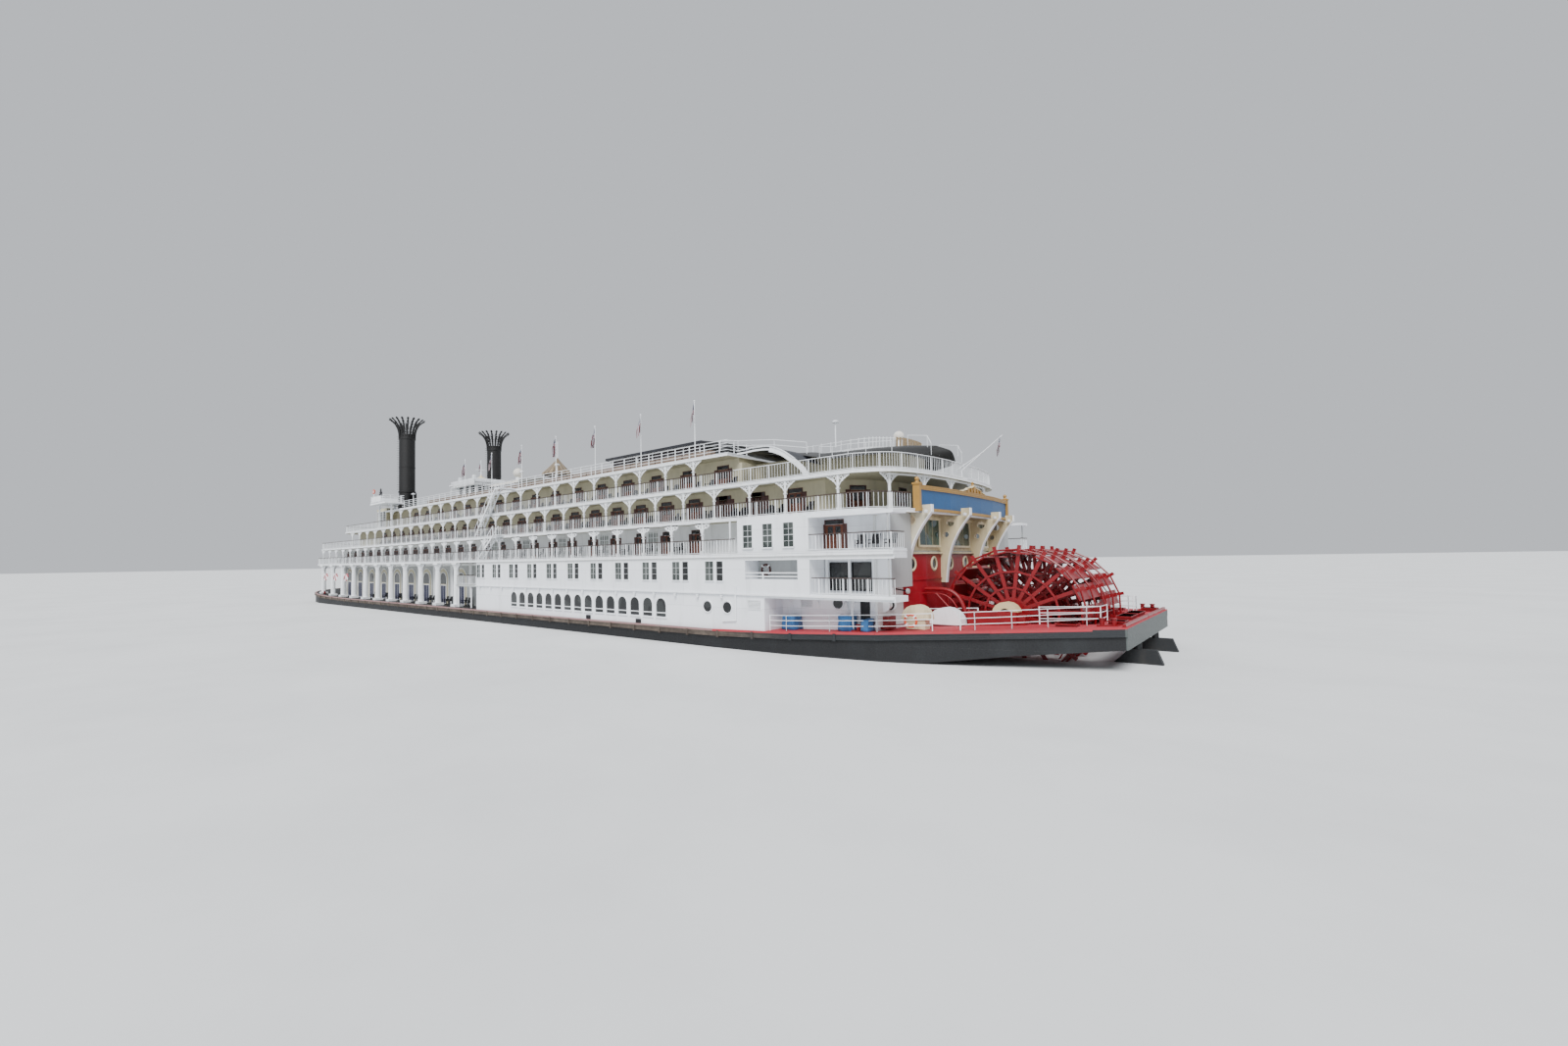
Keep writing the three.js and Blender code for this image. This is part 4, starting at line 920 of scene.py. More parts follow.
# Bitts, hatches and the low coaming at the transom
bm = bmesh.new()
for x, y in ((13.6, 11.9), (20.2, 12.95), (1.0, 6.9), (121.5, 9.2), (116.5, 12.2)):
    z = deckAt(x) + 0.06
    post(bm, x, y, (z, z + 0.08), 0.5, "wheelRed", 0.2)
    for dx in (-0.28, 0.28):
        pole(bm, x + dx, y, z, z + 0.4, 0.12, "wheelRed", 12)
        pole(bm, x + dx, y, z + 0.4, z + 0.46, 0.16, "wheelRed", 12)
for x0, x1, y0, y1, z1 in ((0.6, 1.3, 0.3, 2.6, 0.22), (0.35, 1.1, 5.3, 6.3, 0.22),
                           (2.4, 3.4, 6.7, 7.5, 0.16)):
    z = deckAt(x0) + 0.07
    block(bm, (x0, x1), (y0, y1), (z, z + z1), "wheelRed")
    block(bm, (x0 - 0.06, x1 + 0.06), (y0 - 0.06, y1 + 0.06), (z + z1 - 0.08, z + z1), "wheelRed")
block(bm, (0.08, 0.24), (0.1, 7.6), (4.9, 5.14), "wheelRed")
finish(bm, "deckBitts", mirror=True)
print("hull trim")


# Stern deck: pipe rails, winch drum, life ring, tarpaulin box and the red pipe frame
def deckSkin(x):
    return deckAt(x) + 0.07


bm = bmesh.new()
outer = [(19.3, 13.05), (18, 13), (15, 12.55), (12, 12.05), (9, 11.05)]
after = [(7.6, 10.47), (6.9, 10.15), (5.2, 9.2), (3.7, 7.85), (2.05, 6.6), (1.5, 5.9), (1.45, 4.4)]
inner = [(1.5, 5.95), (4.6, 5.95)]
for line in (outer, after, inner):
    for (x0, y0), (x1, y1) in pairwise(line):
        for rise in (0.35, 0.7, 1.05):
            rod(bm, (x0, y0, deckSkin(x0) + rise), (x1, y1, deckSkin(x1) + rise), 0.022, sides=6)
        steps = max(1, round(math.hypot(x1 - x0, y1 - y0) / 2.2))
        for k in range(steps + 1):
            x, y = x0 + (x1 - x0) * k / steps, y0 + (y1 - y0) * k / steps
            pole(bm, x, y, deckSkin(x) + 0.01, deckSkin(x) + 1.08, 0.03, sides=6)
for z in (0.35, 0.7, 1.05):
    rod(bm, (8.0, 6.25, deckSkin(8) + z), (11.3, 6.25, deckSkin(11) + z), 0.03, sides=6)
for x in (8.0, 9.6, 11.3):
    pole(bm, x, 6.25, deckSkin(x), deckSkin(x) + 1.08, 0.045, sides=6)
finish(bm, "sternRails", replaces=["stern_rail"], mirror=True)

bm = bmesh.new()
for thick, back, drop in ((0.13, 0, 0), (0.05, 0.35, 0.3)):
    pipe = smoothLine([(11.3, 6.78), (10.0, 6.77), (9.35, 6.5), (8.95, 5.95), (8.76, 5.3), (8.74, 4.6)], 4)
    for (x0, z0), (x1, z1) in pairwise(pipe):
        rod(bm, (x0 + back, 6.3, z0 - drop), (x1 + back, 6.3, max(4.45, z1 - drop)), thick, "wheelRed")
rod(bm, (9.4, 6.3, 5.2), (10.6, 6.3, 6.5), 0.06, "wheelRed")
block(bm, (5.6, 8.4), (6.8, 6.95), (4.5, 5.5), "wheelRed")
block(bm, (11.75, 12.25), (9.95, 11.05), (4.4, 5.2), "wheelRed")
turned(bm, [(0, -0.5), (0.42, -0.5), (0.42, -0.42), (0.28, -0.4), (0.28, 0.4), (0.42, 0.42), (0.42, 0.5),
            (0, 0.5)], (12.06, 10.5, 5.9), steps=20, axis="Y")
for y in (10.2, 10.8):
    turned(bm, [(0.28, -0.08), (0.34, -0.08), (0.34, 0.08), (0.28, 0.08)], (12.06, y, 5.9), "darkIron", 20,
           "Y")
block(bm, (12.6, 13.3), (10.0, 10.9), (4.4, 5.5), "wheelRed")
turned(bm, [(0, -0.1), (0.15, -0.08), (0.18, 0.06), (0, 0.12)], (11.1, 9.5, 6.77), "greyWall", 14, "X")
rod(bm, (11.2, 9.5, 6.77), (11.9, 9.5, 6.9), 0.04, "darkIron")
put(bm, "lifeRing", (10.3, 11.0, 5.05))
finish(bm, "sternGear", mirror=True)

bm = bmesh.new()
for x, wide, tall in ((18.35, 1.0, 0.95), (14.15, 0.9, 1.0), (12.75, 0.5, 0.75)):
    foot = deckAt(x) + 0.08
    made = bmesh.ops.create_cube(bm, size=1, matrix=Matrix.Translation((x, 11.75, foot + tall / 2))
                                 @ Matrix.Diagonal((wide, 0.9, tall, 1)))
    box = {face for vert in made["verts"] for face in vert.link_faces}
    bmesh.ops.subdivide_edges(bm, edges=list({edge for face in box for edge in face.edges}), cuts=6,
                              use_grid_fill=True)
for vert in bm.verts:
    low = vert.co.z - 4.3
    vert.co.x += 0.04 * math.sin(vert.co.y * 9 + vert.co.z * 4) * (1.2 - low)
    vert.co.y += 0.05 * math.sin(vert.co.x * 8 + 1) * (1.2 - low)
    vert.co.z += 0.04 * math.sin(vert.co.x * 6 + vert.co.y * 5) * low
tint(bm.verts, "blueTarp")
finish(bm, "coveredBox", smooth=True, recalc=True)
print("stern deck")


# Stern wall: cream windows, sill, portholes, fin flanges and lamps, board frame and pediment
def faceX(y):
    return height([(0, 11.57), (5.8, 11.57), (8.6, 12.05), (11.6, 12.3)], abs(y))


def faceTurn(y):
    slope = 0 if abs(y) < 5.8 else (0.48 / 2.8 if abs(y) < 8.6 else 0.25 / 3)
    return math.pi / 2 - math.copysign(math.atan(slope), y)


bm = bmesh.new()
sternWindow = sash(3.0, 1.75, 3, 1, "greenGlass", 0.12, 0.08, "creamEnamel")
for y in (-5.2, 5.2):
    stamp(bm, sternWindow, [at(faceX(y) - 0.18, y, 9.75, math.pi / 2 - math.copysign(0.05, y))])
stamp(bm, sash(4.9, 1.75, 4, 1, "greenGlass", 0.12, 0.08, "creamEnamel"),
      [at(11.57 - 0.165, 0, 9.75, math.pi / 2)])
for y in (-7.48, -4.49, -1.5, 1.5, 4.49, 7.48):
    put(bm, "ringPort", (faceX(y) - 0.165, y, 8.48, faceTurn(y)))
for a, b in (((12.3, 11.6), (12.05, 8.6)), ((12.05, 8.6), (11.57, 5.8)), ((11.57, 5.8), (11.57, -5.8)),
             ((11.57, -5.8), (12.05, -8.6)), ((12.05, -8.6), (12.3, -11.6))):
    beam(bm, (a[0] - 0.2, a[1], 9.22), (b[0] - 0.2, b[1], 9.22), 0.3, 0.12, "creamEnamel")
    beam(bm, (a[0] - 0.19, a[1], 11.65), (b[0] - 0.19, b[1], 11.65), 0.1, 0.14, "creamEnamel")
    beam(bm, (a[0] - 0.19, a[1], 7.42), (b[0] - 0.19, b[1], 7.42), 0.06, 0.07, "bulkheadRed")
fins = ((8.38, 0.55), (3.12, 0.0), (-3.12, 0.0), (-8.38, 0.55))
finEdge = smoothLine([(9.34, 11.82), (9.79, 11.22), (10.14, 10.67), (10.49, 9.99), (10.71, 9.36),
                      (10.87, 8.67), (11.02, 7.51), (11.06, 7.13)], 3)
for y, back in fins:
    for (x0, z0), (x1, z1) in pairwise(finEdge):
        beam(bm, (x0 + back - 0.02, y, z0), (x1 + back - 0.02, y, z1), 0.34, 0.06, up=(-1, 0, 0.3))
    beam(bm, (9.3 + back, y, 12.3), (9.3 + back, y, 11.8), 0.34, 0.06, up=(-1, 0, 0))
    for x, z, r in ((10.65, 11.35, 0.28), (10.97, 10.5, 0.2)):
        annulus(bm, r, r + 0.06, 0.14, (x + back, y, z), "creamEnamel", 16)
    turned(bm, [(0, -0.12), (0.12, -0.08), (0.14, 0.06), (0, 0.12)], (9.55 + back, y + 0.42, 11.85),
           "lampGlass", 12)
finish(bm, "sternFittings")

boardLine = [(10.68, 8.86), (10.33, 4.4), (10.26, 1.5), (10.26, -1.5), (10.33, -4.4), (10.68, -8.86)]
bm = bmesh.new()
for (x0, y0), (x1, y1) in pairwise(boardLine):
    for z, wide, deep, out in ((13.47, 0.22, 0.16, 0.14), (13.34, 0.1, 0.08, 0.19), (12.02, 0.14, 0.18, 0.17),
                               (13.56, 0.3, 0.07, 0.12)):
        beam(bm, (x0 - out, y0, z), (x1 - out, y1, z), wide, deep, "goldPaint")
for y in (-8.86, 8.86):
    block(bm, (10.38, 10.8), (y - 0.16, y + 0.16), (11.9, 13.66), "goldPaint")
    block(bm, (10.34, 10.84), (y - 0.22, y + 0.22), (13.62, 13.74), "goldPaint")
    turned(bm, [(0, 0), (0.14, 0.03), (0.09, 0.12), (0.15, 0.24), (0.1, 0.36), (0, 0.42)], (10.58, y, 13.72),
           "goldPaint", 12)
finish(bm, "boardFrame")

bm = bmesh.new()
shape = [(-2.4, 13.51), (-2.2, 13.66), (-1.5, 13.74), (-1.0, 13.92), (-0.4, 13.98), (0, 14.14)]
shape = [*shape, *[(-y, z) for y, z in reversed(shape[:-1])]]
plate(bm, [(10.26, y, z) for y, z in shape], (-0.18, 0, 0), "goldPaint")
for (y0, z0), (y1, z1) in pairwise(shape):
    beam(bm, (10.16, y0, z0), (10.16, y1, z1), 0.28, 0.06, "creamEnamel")
for y in (-1.3, -0.6, 0.6, 1.3):
    turned(bm, [(0, -0.03), (0.16, -0.03), (0.12, 0.04), (0, 0.05)], (10.04, y, 13.68 + 0.06 * (2 - abs(y))),
           "goldPaint", 14, "X")
turned(bm, [(0, -0.05), (0.24, -0.04), (0.2, 0.03), (0, 0.06)], (10.05, 0, 13.82), "goldPaint", 18, "X")
turned(bm, [(0, 0), (0.12, 0.02), (0.07, 0.12), (0.12, 0.22), (0, 0.34)], (10.17, 0, 14.12), "goldPaint", 12)
finish(bm, "pediment", ["board_pediment"], recalc=True)
print("stern wall")


# Paddle wheel
wheel = {
    "x": 6.29, "z": 5.33, "radius": 4.3, "arms": 18,
    "halves": ((-5.45, -0.25, 0.322), (-0.15, 5.45, 0.477)),
}


def onWheel(radius, angle, y):
    return (wheel["x"] - radius * math.sin(angle), y, wheel["z"] + radius * math.cos(angle))


bm = bmesh.new()
rod(bm, (wheel["x"], -6.38, wheel["z"]), (wheel["x"], 6.38, wheel["z"]), 0.34, "wheelRed", 24)
for low, high, phase in wheel["halves"]:
    for ring in range(3):
        y = low + 0.2 + (high - low - 0.4) * ring / 2
        turned(bm, [(0.3, -0.2), (0.55, -0.2), (0.6, -0.08), (0.95, -0.07), (0.95, 0.07), (0.6, 0.08),
                    (0.55, 0.2), (0.3, 0.2)], (wheel["x"], y, wheel["z"]), "wheelRed", axis="Y")
        for k in range(wheel["arms"]):
            angle = phase + 2 * math.pi * k / wheel["arms"]
            after = angle + 2 * math.pi / wheel["arms"]
            facing = (0, 1, 0)
            beam(bm, onWheel(0.5, angle, y), onWheel(4.29, angle, y), 0.21, 0.1, "wheelRed", facing)
            rod(bm, onWheel(4.03, angle, y), onWheel(4.03, after, y), 0.06, "wheelRed", 6)
            for share in (0.37, 0.61):
                beam(bm, onWheel(wheel["radius"] * share, angle, y + 0.07),
                     onWheel(wheel["radius"] * share, after, y + 0.07), 0.12, 0.04, "wheelRed", facing)
            rod(bm, onWheel(0.82, angle + 0.17, y - 0.1), onWheel(0.82, angle + 0.17, y + 0.1), 0.035,
                "wheelRed", 6)
    for k in range(wheel["arms"]):
        angle = phase + 2 * math.pi * k / wheel["arms"]
        inner, outer = Vector(onWheel(3.3, angle, 0)), Vector(onWheel(4.27, angle, 0))
        side = (outer - inner).normalized().cross(Vector((0, 1, 0)))
        centre = (inner + outer) / 2 + side * 0.15
        beam(bm, centre + Vector((0, low, 0)), centre + Vector((0, high, 0)), 0.09, 0.97, "wheelRed", side)
        for ring in range(2):
            y0, y1 = (low + 0.2 + (high - low - 0.4) * ring / 2, low + 0.2
                      + (high - low - 0.4) * (ring + 1) / 2)
            if k % 2 == ring:
                rod(bm, onWheel(3.2, angle, y0), onWheel(3.9, angle + 2 * math.pi / wheel["arms"], y1), 0.04,
                    "wheelRed", 6)
            rod(bm, onWheel(2.62, angle, y0), onWheel(2.62, angle, y1), 0.045, "wheelRed", 6)
finish(bm, "paddleWheel", ["paddle_wheel"], "paddle_wheel", recalc=True)
print("wheel")


# Smokestacks
stack = {"x": 91.93, "y": 7.64, "radius": 1.2, "feathers": 18}
for side, way in (("port", 1), ("starboard", -1)):
    x, y = stack["x"], way * stack["y"]
    bm = bmesh.new()
    bands = [(19.19, 0.0), (19.3, 0.12), (19.45, 0.12), (19.55, 0.0), (20.3, 0.0), (20.35, 0.12),
             (20.5, 0.12), (20.55, 0.0), (24.2, 0.0), (24.22, 0.03), (24.34, 0.03), (24.36, 0.0), (28.6, 0.0),
             (28.7, 0.06), (28.9, 0.06), (29.0, 0.0)]
    turned(bm, [(0, 19.19), *[(stack["radius"] + out, z) for z, out in bands], (stack["radius"], 29.5),
                (1.05, 29.5), (1.05, 21), (0, 21)], (x, y, 0), "stackBlack", 40)
    for k in range(stack["feathers"]):
        angle = 2 * math.pi * k / stack["feathers"]
        line = smoothLine([(1.2, 28.7), (1.24, 29.6), (1.42, 30.4), (1.85, 31.2), (2.55, 31.8)], 3)
        out, tangent = Vector((math.cos(angle), math.sin(angle), 0)), Vector((-math.sin(angle),
                                                                              math.cos(angle), 0))
        for step, ((r0, z0), (r1, z1)) in enumerate(pairwise(line)):
            a = Vector((x, y, z0)) + out * r0
            b = Vector((x, y, z1)) + out * r1
            wide = 0.19 + (0.08 if step % 2 else 0)
            beam(bm, a, b + (b - a) * 0.06, wide, 0.13, "stackBlack", out)
        for r, z in ((1.5, 30.55), (1.9, 31.27), (2.35, 31.65)):
            beam(bm, Vector((x, y, z)) + out * r - tangent * 0.2, Vector((x, y, z)) + out * r + tangent * 0.2,
                 0.08, 0.1, "stackBlack")
        tip = Vector((x, y, 31.8)) + out * 2.6
        bmesh.ops.create_icosphere(bm, subdivisions=1, radius=0.1, matrix=Matrix.Translation(tip))
    for r, z in ((1.75, 31.05), (1.36, 30.2)):
        annulus(bm, r - 0.03, r + 0.03, 0.03, (x, y, z), "stackBlack", 28, "Z")
    tint(bm.verts, "stackBlack")
    block(bm, (90.2, 91.0), (y - 0.4, y + 0.4), (19.75, 20.08), "stackBlack")
    for k in range(24):
        rise = 20.9 + 0.36 * k
        rod(bm, (x + 0.9, y - 0.2 + 1.02, rise), (x + 0.9, y + 0.2 + 1.02, rise), 0.025, "stackBlack", 6)
    finish(bm, "smokestack" + side.title(), ["stack_" + side], "stack_" + side, recalc=True)
print("stacks")


# Outside stairs: sides, treads and hand rails; the high flight passes deck five
def flightOf(bm, foot, head, inner, outer, low, high, steps):
    run = Vector((head - foot, 0, high - low))
    for y in (inner + 0.04, outer - 0.04):
        beam(bm, (foot, y, low + 0.05), (head, y, high - 0.05), 0.07, 0.18)
        rise = Vector((0, 0, 1.0))
        beam(bm, Vector((foot, y, low)) + rise, Vector((head, y, high)) + rise, 0.045, 0.045)
        for k in range(7):
            point = Vector((foot, y, low)) + run * (k / 6)
            rod(bm, point, point + rise, 0.03, sides=6)
    for k in range(1, steps + 1):
        point = Vector((foot, 0, low)) + run * ((k - 0.5) / steps)
        block(bm, (point.x - 0.15, point.x + 0.15), (inner + 0.06, outer - 0.06),
              (point.z - 0.03, point.z + 0.02))


bm = bmesh.new()
flightOf(bm, 59.3, 55.95, 12.56, 13.3, 9.4, 12.1, 13)
flightOf(bm, 62.6, 57.85, 11.05, 11.9, 12.1, 17.6, 26)
block(bm, (55.0, 56.0), (11.05, 13.3), (12.03, 12.11))
block(bm, (56.9, 57.9), (9.69, 11.9), (17.45, 17.6))
finish(bm, "outsideStairs", replaces=["side_stair"], mirror=True)
print("stairs")


# Fore part: fluted columns, arches and doors behind them, side balcony
tallXs = [66.6 + 5.025 * k for k in range(11)]
bm = bmesh.new()
for x in tallXs:
    foot, top = deckAt(x) + 0.01, 9.13
    made = bmesh.ops.create_cone(bm, cap_ends=True, segments=32, radius1=0.38, radius2=0.29,
                                 depth=top - foot - 0.6,
                                 matrix=Matrix.Translation((x, 12.15, (top + foot) / 2)))
    for k, vert in enumerate(made["verts"]):
        angle = math.atan2(vert.co.y - 12.15, vert.co.x - x)
        dent = 0.9 if round(angle / (2 * math.pi) * 32) % 2 else 1.0
        vert.co.x, vert.co.y = x + (vert.co.x - x) * dent, 12.15 + (vert.co.y - 12.15) * dent
    tint(made["verts"])
    block(bm, (x - 0.52, x + 0.52), (11.6, 12.7), (foot, foot + 0.3))
    turned(bm, [(0, 0), (0.34, 0), (0.36, 0.2), (0.46, 0.45), (0.66, 0.66), (0.62, 0.76), (0, 0.76)],
           (x, 12.15, top - 0.82), steps=20)
    block(bm, (x - 0.62, x + 0.62), (11.62, 12.55), (top - 0.12, top))
    for way in (-1, 1):
        points = [(x + way * 0.3, 12.1, top - 1.1), (x + way * 0.45, 12.1, top - 0.6),
                  (x + way * 1.0, 12.1, top - 0.16), (x + way * 1.0, 12.1, top), (x + way * 0.3, 12.1, top)]
        plate(bm, points if way > 0 else points[::-1], (0, 0.1, 0))
beam(bm, (tallXs[0] - 1, 12.15, 9.05), (tallXs[-1] + 1, 12.15, 9.05), 0.3, 0.14)
finish(bm, "tallColumns", replaces=["fore_columns"], mirror=True, recalc=True)

bm = bmesh.new()
bigArch = archWindow(3.0, 4.6, "stoneEnamel", sillBand=False)
fanLight = archWindow(1.9, 1.5, sillBand=False)
foreDoor = sash(1.7, 2.35, 2, 1, "doorNavy", 0.08, 0.09, sill=0)
for k, x in enumerate(bayMiddles(tallXs)):
    if x > 111:
        continue
    foot = deckAt(x) + 0.05
    stamp(bm, bigArch, [at(x, 10.2, foot)])
    stamp(bm, foreDoor, [at(x, 10.23, foot)])
    stamp(bm, fanLight, [at(x, 10.23, foot + 2.55)])
for x in tallXs[:-1]:
    block(bm, (x - 0.35, x + 0.35), (10.2, 10.32), (deckAt(x) + 0.05, 9.1))
beam(bm, (59.5, 10.25, 8.9), (111.9, 10.25, 8.9), 0.16, 0.3)
put(bm, "door", (61.5, 10.2, 6.6), (64.0, 10.2, 6.6))
balustrade(bm, [(59.5, 12.47), (65.82, 12.47), (65.82, 10.3)], boat["two"], galleryRail)
for x, y in ((62.6, 12.3), (65.75, 12.3)):
    pole(bm, x, y, deckAt(x) + 0.02, 6.3, 0.1, sides=10)
finish(bm, "foreArches", mirror=True)
# Iron chairs behind the tall columns
bm = bmesh.new()
stamp(bm, kit["chair"], [at(x + dx, 10.6, 3.78, random.uniform(-0.5, 0.5)) for x in tallXs[:7]
                         for dx in (-0.5, 0.6)])
finish(bm, "foreSeats", mirror=True)
print("fore part")


# Glazed lounge under the wing bridge, windows at the front of each gallery and doors at the front of the
# lowest
bm = bmesh.new()
for side in (1, -1):
    for k in range(3):
        stamp(bm, sash(0.95, 2.4, 3, 6, bar=0.05), [at(96.3 + 1.15 * k, side * 9.4, 15.2,
                                                       0 if side > 0 else math.pi)])
for k in range(12):
    stamp(bm, sash(1.2, 2.4, 3, 6, bar=0.05), [at(99.4, -8.3 + 1.51 * k, 15.2, -math.pi / 2)])
for y in (-6, -2, 2, 6):
    stamp(bm, sash(1.4, 1.6, 2, 4), [at(112, y, 6.9, -math.pi / 2), at(114, y, 9.9, -math.pi / 2),
                                     at(110.5, y, 12.7, -math.pi / 2)])
    stamp(bm, foreDoor, [at(112, y, 3.95, -math.pi / 2)])
finish(bm, "foreLounge")

# Pilothouse: glazing bars and panes in its window openings, roof with a fretwork edge, mast and lamps
bm = bmesh.new()
pilotX, pilotHalf = 82.6, (2.85, 2.4)
for x in (-1.8, 0, 1.8):
    for way in (1, -1):
        y = way * (pilotHalf[1] - 0.1)
        post(bm, pilotX + x, y, (19.53, 20.83), 0.6, "windowGlass", 0.015)
        for dx in (-0.6, 0, 0.6):
            post(bm, pilotX + x + dx, y, (19.53, 20.83), 0.02, deep=0.04)
for y in (-1.5, 0, 1.5):
    for way in (1, -1):
        x = pilotX + way * (pilotHalf[0] - 0.1)
        post(bm, x, y, (19.53, 20.83), 0.015, "windowGlass", 0.5)
for way in (1, -1):
    y = way * 2.42
    for x0, x1, z0, z1 in ((-2.7, 2.7, 19.35, 19.42), (-2.7, 2.7, 17.75, 17.85), (-2.7, 2.7, 20.95, 21.05)):
        block(bm, (pilotX + x0, pilotX + x1), (y - 0.03, y + 0.03), (z0, z1), "creamEnamel")
    for x in (-2.7, -0.9, 0.9, 2.7):
        post(bm, pilotX + x, y, (17.7, 21.05), 0.08, deep=0.03)
finish(bm, "pilothouseGlass")

bm = bmesh.new()
for step, z0, z1 in ((0, 21.11, 21.3), (0.12, 21.3, 21.48), (0.8, 21.48, 21.9)):
    block(bm, (pilotX - 3.6 + step, pilotX + 3.6 - step), (-3.15 + step, 3.15 - step), (z0, z1))
lace = asMesh(lambda b: [annulus(b, 0.07, 0.15, 0.03, (0, 0, 0), steps=8),
                         plate(b, [(-0.14, -0.02, -0.16), (0.14, -0.02, -0.16), (0, -0.02, -0.42)],
                               (0, 0.04, 0))])
for k in range(24):
    for way in (1, -1):
        stamp(bm, lace, [at(pilotX - 3.5 + 0.304 * k, way * 3.12, 21.1),
                         at(pilotX - 3.5 + 0.304 * k, way * 3.12, 21.62)])
for k in range(21):
    for way in (1, -1):
        stamp(bm, lace, [at(pilotX + way * 3.57, -3.05 + 0.305 * k, 21.1, math.pi / 2),
                         at(pilotX + way * 3.57, -3.05 + 0.305 * k, 21.62, math.pi / 2)])
turned(bm, [(0, 0), (0.9, 0), (0.85, 0.3), (0.5, 0.5), (0.2, 0.62), (0.12, 0.9), (0, 0.95)],
       (pilotX, 0, 21.9), "creamEnamel")
pole(bm, pilotX, 0, 22.7, 25.15, 0.07, sides=10, tip=0.04)
beam(bm, (pilotX, -0.9, 23.6), (pilotX, 0.9, 23.6), 0.06, 0.06)
for x in (-2.2, 2.2):
    turned(bm, [(0, -0.25), (0.24, -0.2), (0.28, 0.15), (0, 0.2)], (pilotX + x, 2.4, 22.15), "lampGlass", 16,
           "Y")
    pole(bm, pilotX + x, 2.4, 21.85, 22.1, 0.05, "darkIron")
finish(bm, "pilothouseRoof", replaces=["pilothouse_roof"], recalc=True)
print("pilothouse")


# Wing bridge: floor on legs, thin rails, a panel at each end, round lamp, finial and braces
bm = bmesh.new()
bridge = {"aft": 93.4, "fore": 95.3, "low": 18.35, "floor": 18.55}
bridgeSlab = (bridge["low"], bridge["floor"])
block(bm, (bridge["aft"], bridge["fore"]), (-12, 12), bridgeSlab)
block(bm, (95.2, 95.3), (-11.9, 11.9), (18.56, 19.6))
for way in (1, -1):
    block(bm, (89.5, 93.4), (9.05 * way, 12 * way) if way > 0 else (-12, -9.05), bridgeSlab)
    balustrade(bm, [(93.45, 0), (93.45, way * 9.1), (89.56, way * 9.1), (89.56, way * 11.94),
                    (95.2, way * 11.94)], bridge["floor"], sunRail)
    block(bm, (91.0, 94.6), (way * 12.0 - 0.04, way * 12.0 + 0.04), (18.7, 19.5))
    for x in (90.3, 95.0):
        post(bm, x, way * 10.7, (14.83, 18.36), 0.1)
    for y in (3, 8.5):
        block(bm, (94.4, 94.6), (way * y - 0.1, way * y + 0.1), (sunFloor, 18.36))
    pole(bm, 94.9, way * 11.6, 19.6, 20.25, 0.05)
    annulus(bm, 0.22, 0.34, 0.08, (94.9, way * 11.6, 20.5), "orangePlastic", 20)
    turned(bm, [(0, -0.06), (0.22, -0.06), (0.22, 0.06), (0, 0.06)], (94.9, way * 11.6, 20.5), "lampGlass",
           20, "Y")
    turned(bm, [(0, 0), (0.3, 0), (0.32, 0.1), (0.12, 0.42), (0.24, 0.44), (0.08, 0.8), (0.16, 0.82),
                (0, 1.25)], (92.1, way * 11.6, 19.62), "darkIron", 12)
    for x0, x1 in ((90.3, 91.4), (95.0, 94.0)):
        beam(bm, (x0, way * 10.7, 17.4), (x1, way * 10.7, 18.3), 0.08, 0.08)
for y in (-8, -5.3, -2.6, 0, 2.6, 5.3, 8):
    stamp(bm, sash(1.1, 0.5, 1, 1), [at(95.31, y, 18.85, -math.pi / 2)])
finish(bm, "wingBridge", replaces=["bridge_wings"])

# Sun deck: planters and seats behind the rail, domes, vents, lamps
bm = bmesh.new()
for way in (1, -1):
    for k in range(16):
        x = 27.6 + 3.35 * k
        block(bm, (x, x + 3.2), (way * 9.0 - 0.3, way * 9.0 + 0.3), (sunFloor, 18.1), "brownWicker")
finish(bm, "deckBenches")

bm = bmesh.new()
ball = [(0.635 * math.sin(math.pi * k / 12), -0.635 * math.cos(math.pi * k / 12)) for k in range(13)]
for x, y, z, grow in ((67.2, 3.0, 21.15, 1), (15.66, 0, 18.69, 0.64)):
    turned(bm, [(r * grow, h * grow) for r, h in ball], (x, y, z), "whiteCanvas")
    pole(bm, x, y, z - 1.0, z - 0.55 * grow, 0.3 * grow, sides=12)
for x, y in ((17.4, 6.9), (49.5, 9.2), (56.5, 9.2), (74, 9.2), (86, 9.2)):
    base = 17.2 if x < 25 else sunFloor
    pole(bm, x, y, base, base + 1.9, 0.045)
    turned(bm, [(0, 0), (0.26, 0), (0.3, 0.07), (0.12, 0.17), (0, 0.19)], (x, y, base + 1.85), steps=14)
for x, y in ((50, 4), (55, -4)):
    turned(bm, [(0, 0), (0.4, 0), (0.4, 0.9), (0.62, 0.95), (0.55, 1.15), (0, 1.2)], (x, y, sunFloor),
           steps=20)
finish(bm, "sunDeckGear", recalc=True)
print("sun deck")

# Curved brace each side that comes down from the sun deck past the rail of deck five, the sheet-steel
# eyebrow roof beside it with its white lip, and the thin rail that runs down with them
bm = bmesh.new()
bow = smoothLine([(24.48, 17.33), (23.7, 17.32), (22.75, 17.37), (21.38, 17.26), (20.33, 16.85),
                  (19.65, 16.4), (19.07, 15.96), (18.5, 15.4), (18.2, 14.85)], 4)
for (x0, z0), (x1, z1) in pairwise(bow):
    beam(bm, (x0, 9.7, z0), (x1, 9.7, z1), 0.12, 0.38 if x1 < 21.2 else 0.12)
    if x1 > 19.2:
        beam(bm, (x0, 6.9, z0 + 0.16), (x1, 6.9, z1 + 0.16), 5.4, 0.05, "navyEnamel")
        beam(bm, (x0, 9.72, z0 + 0.24), (x1, 9.72, z1 + 0.24), 0.2, 0.05)
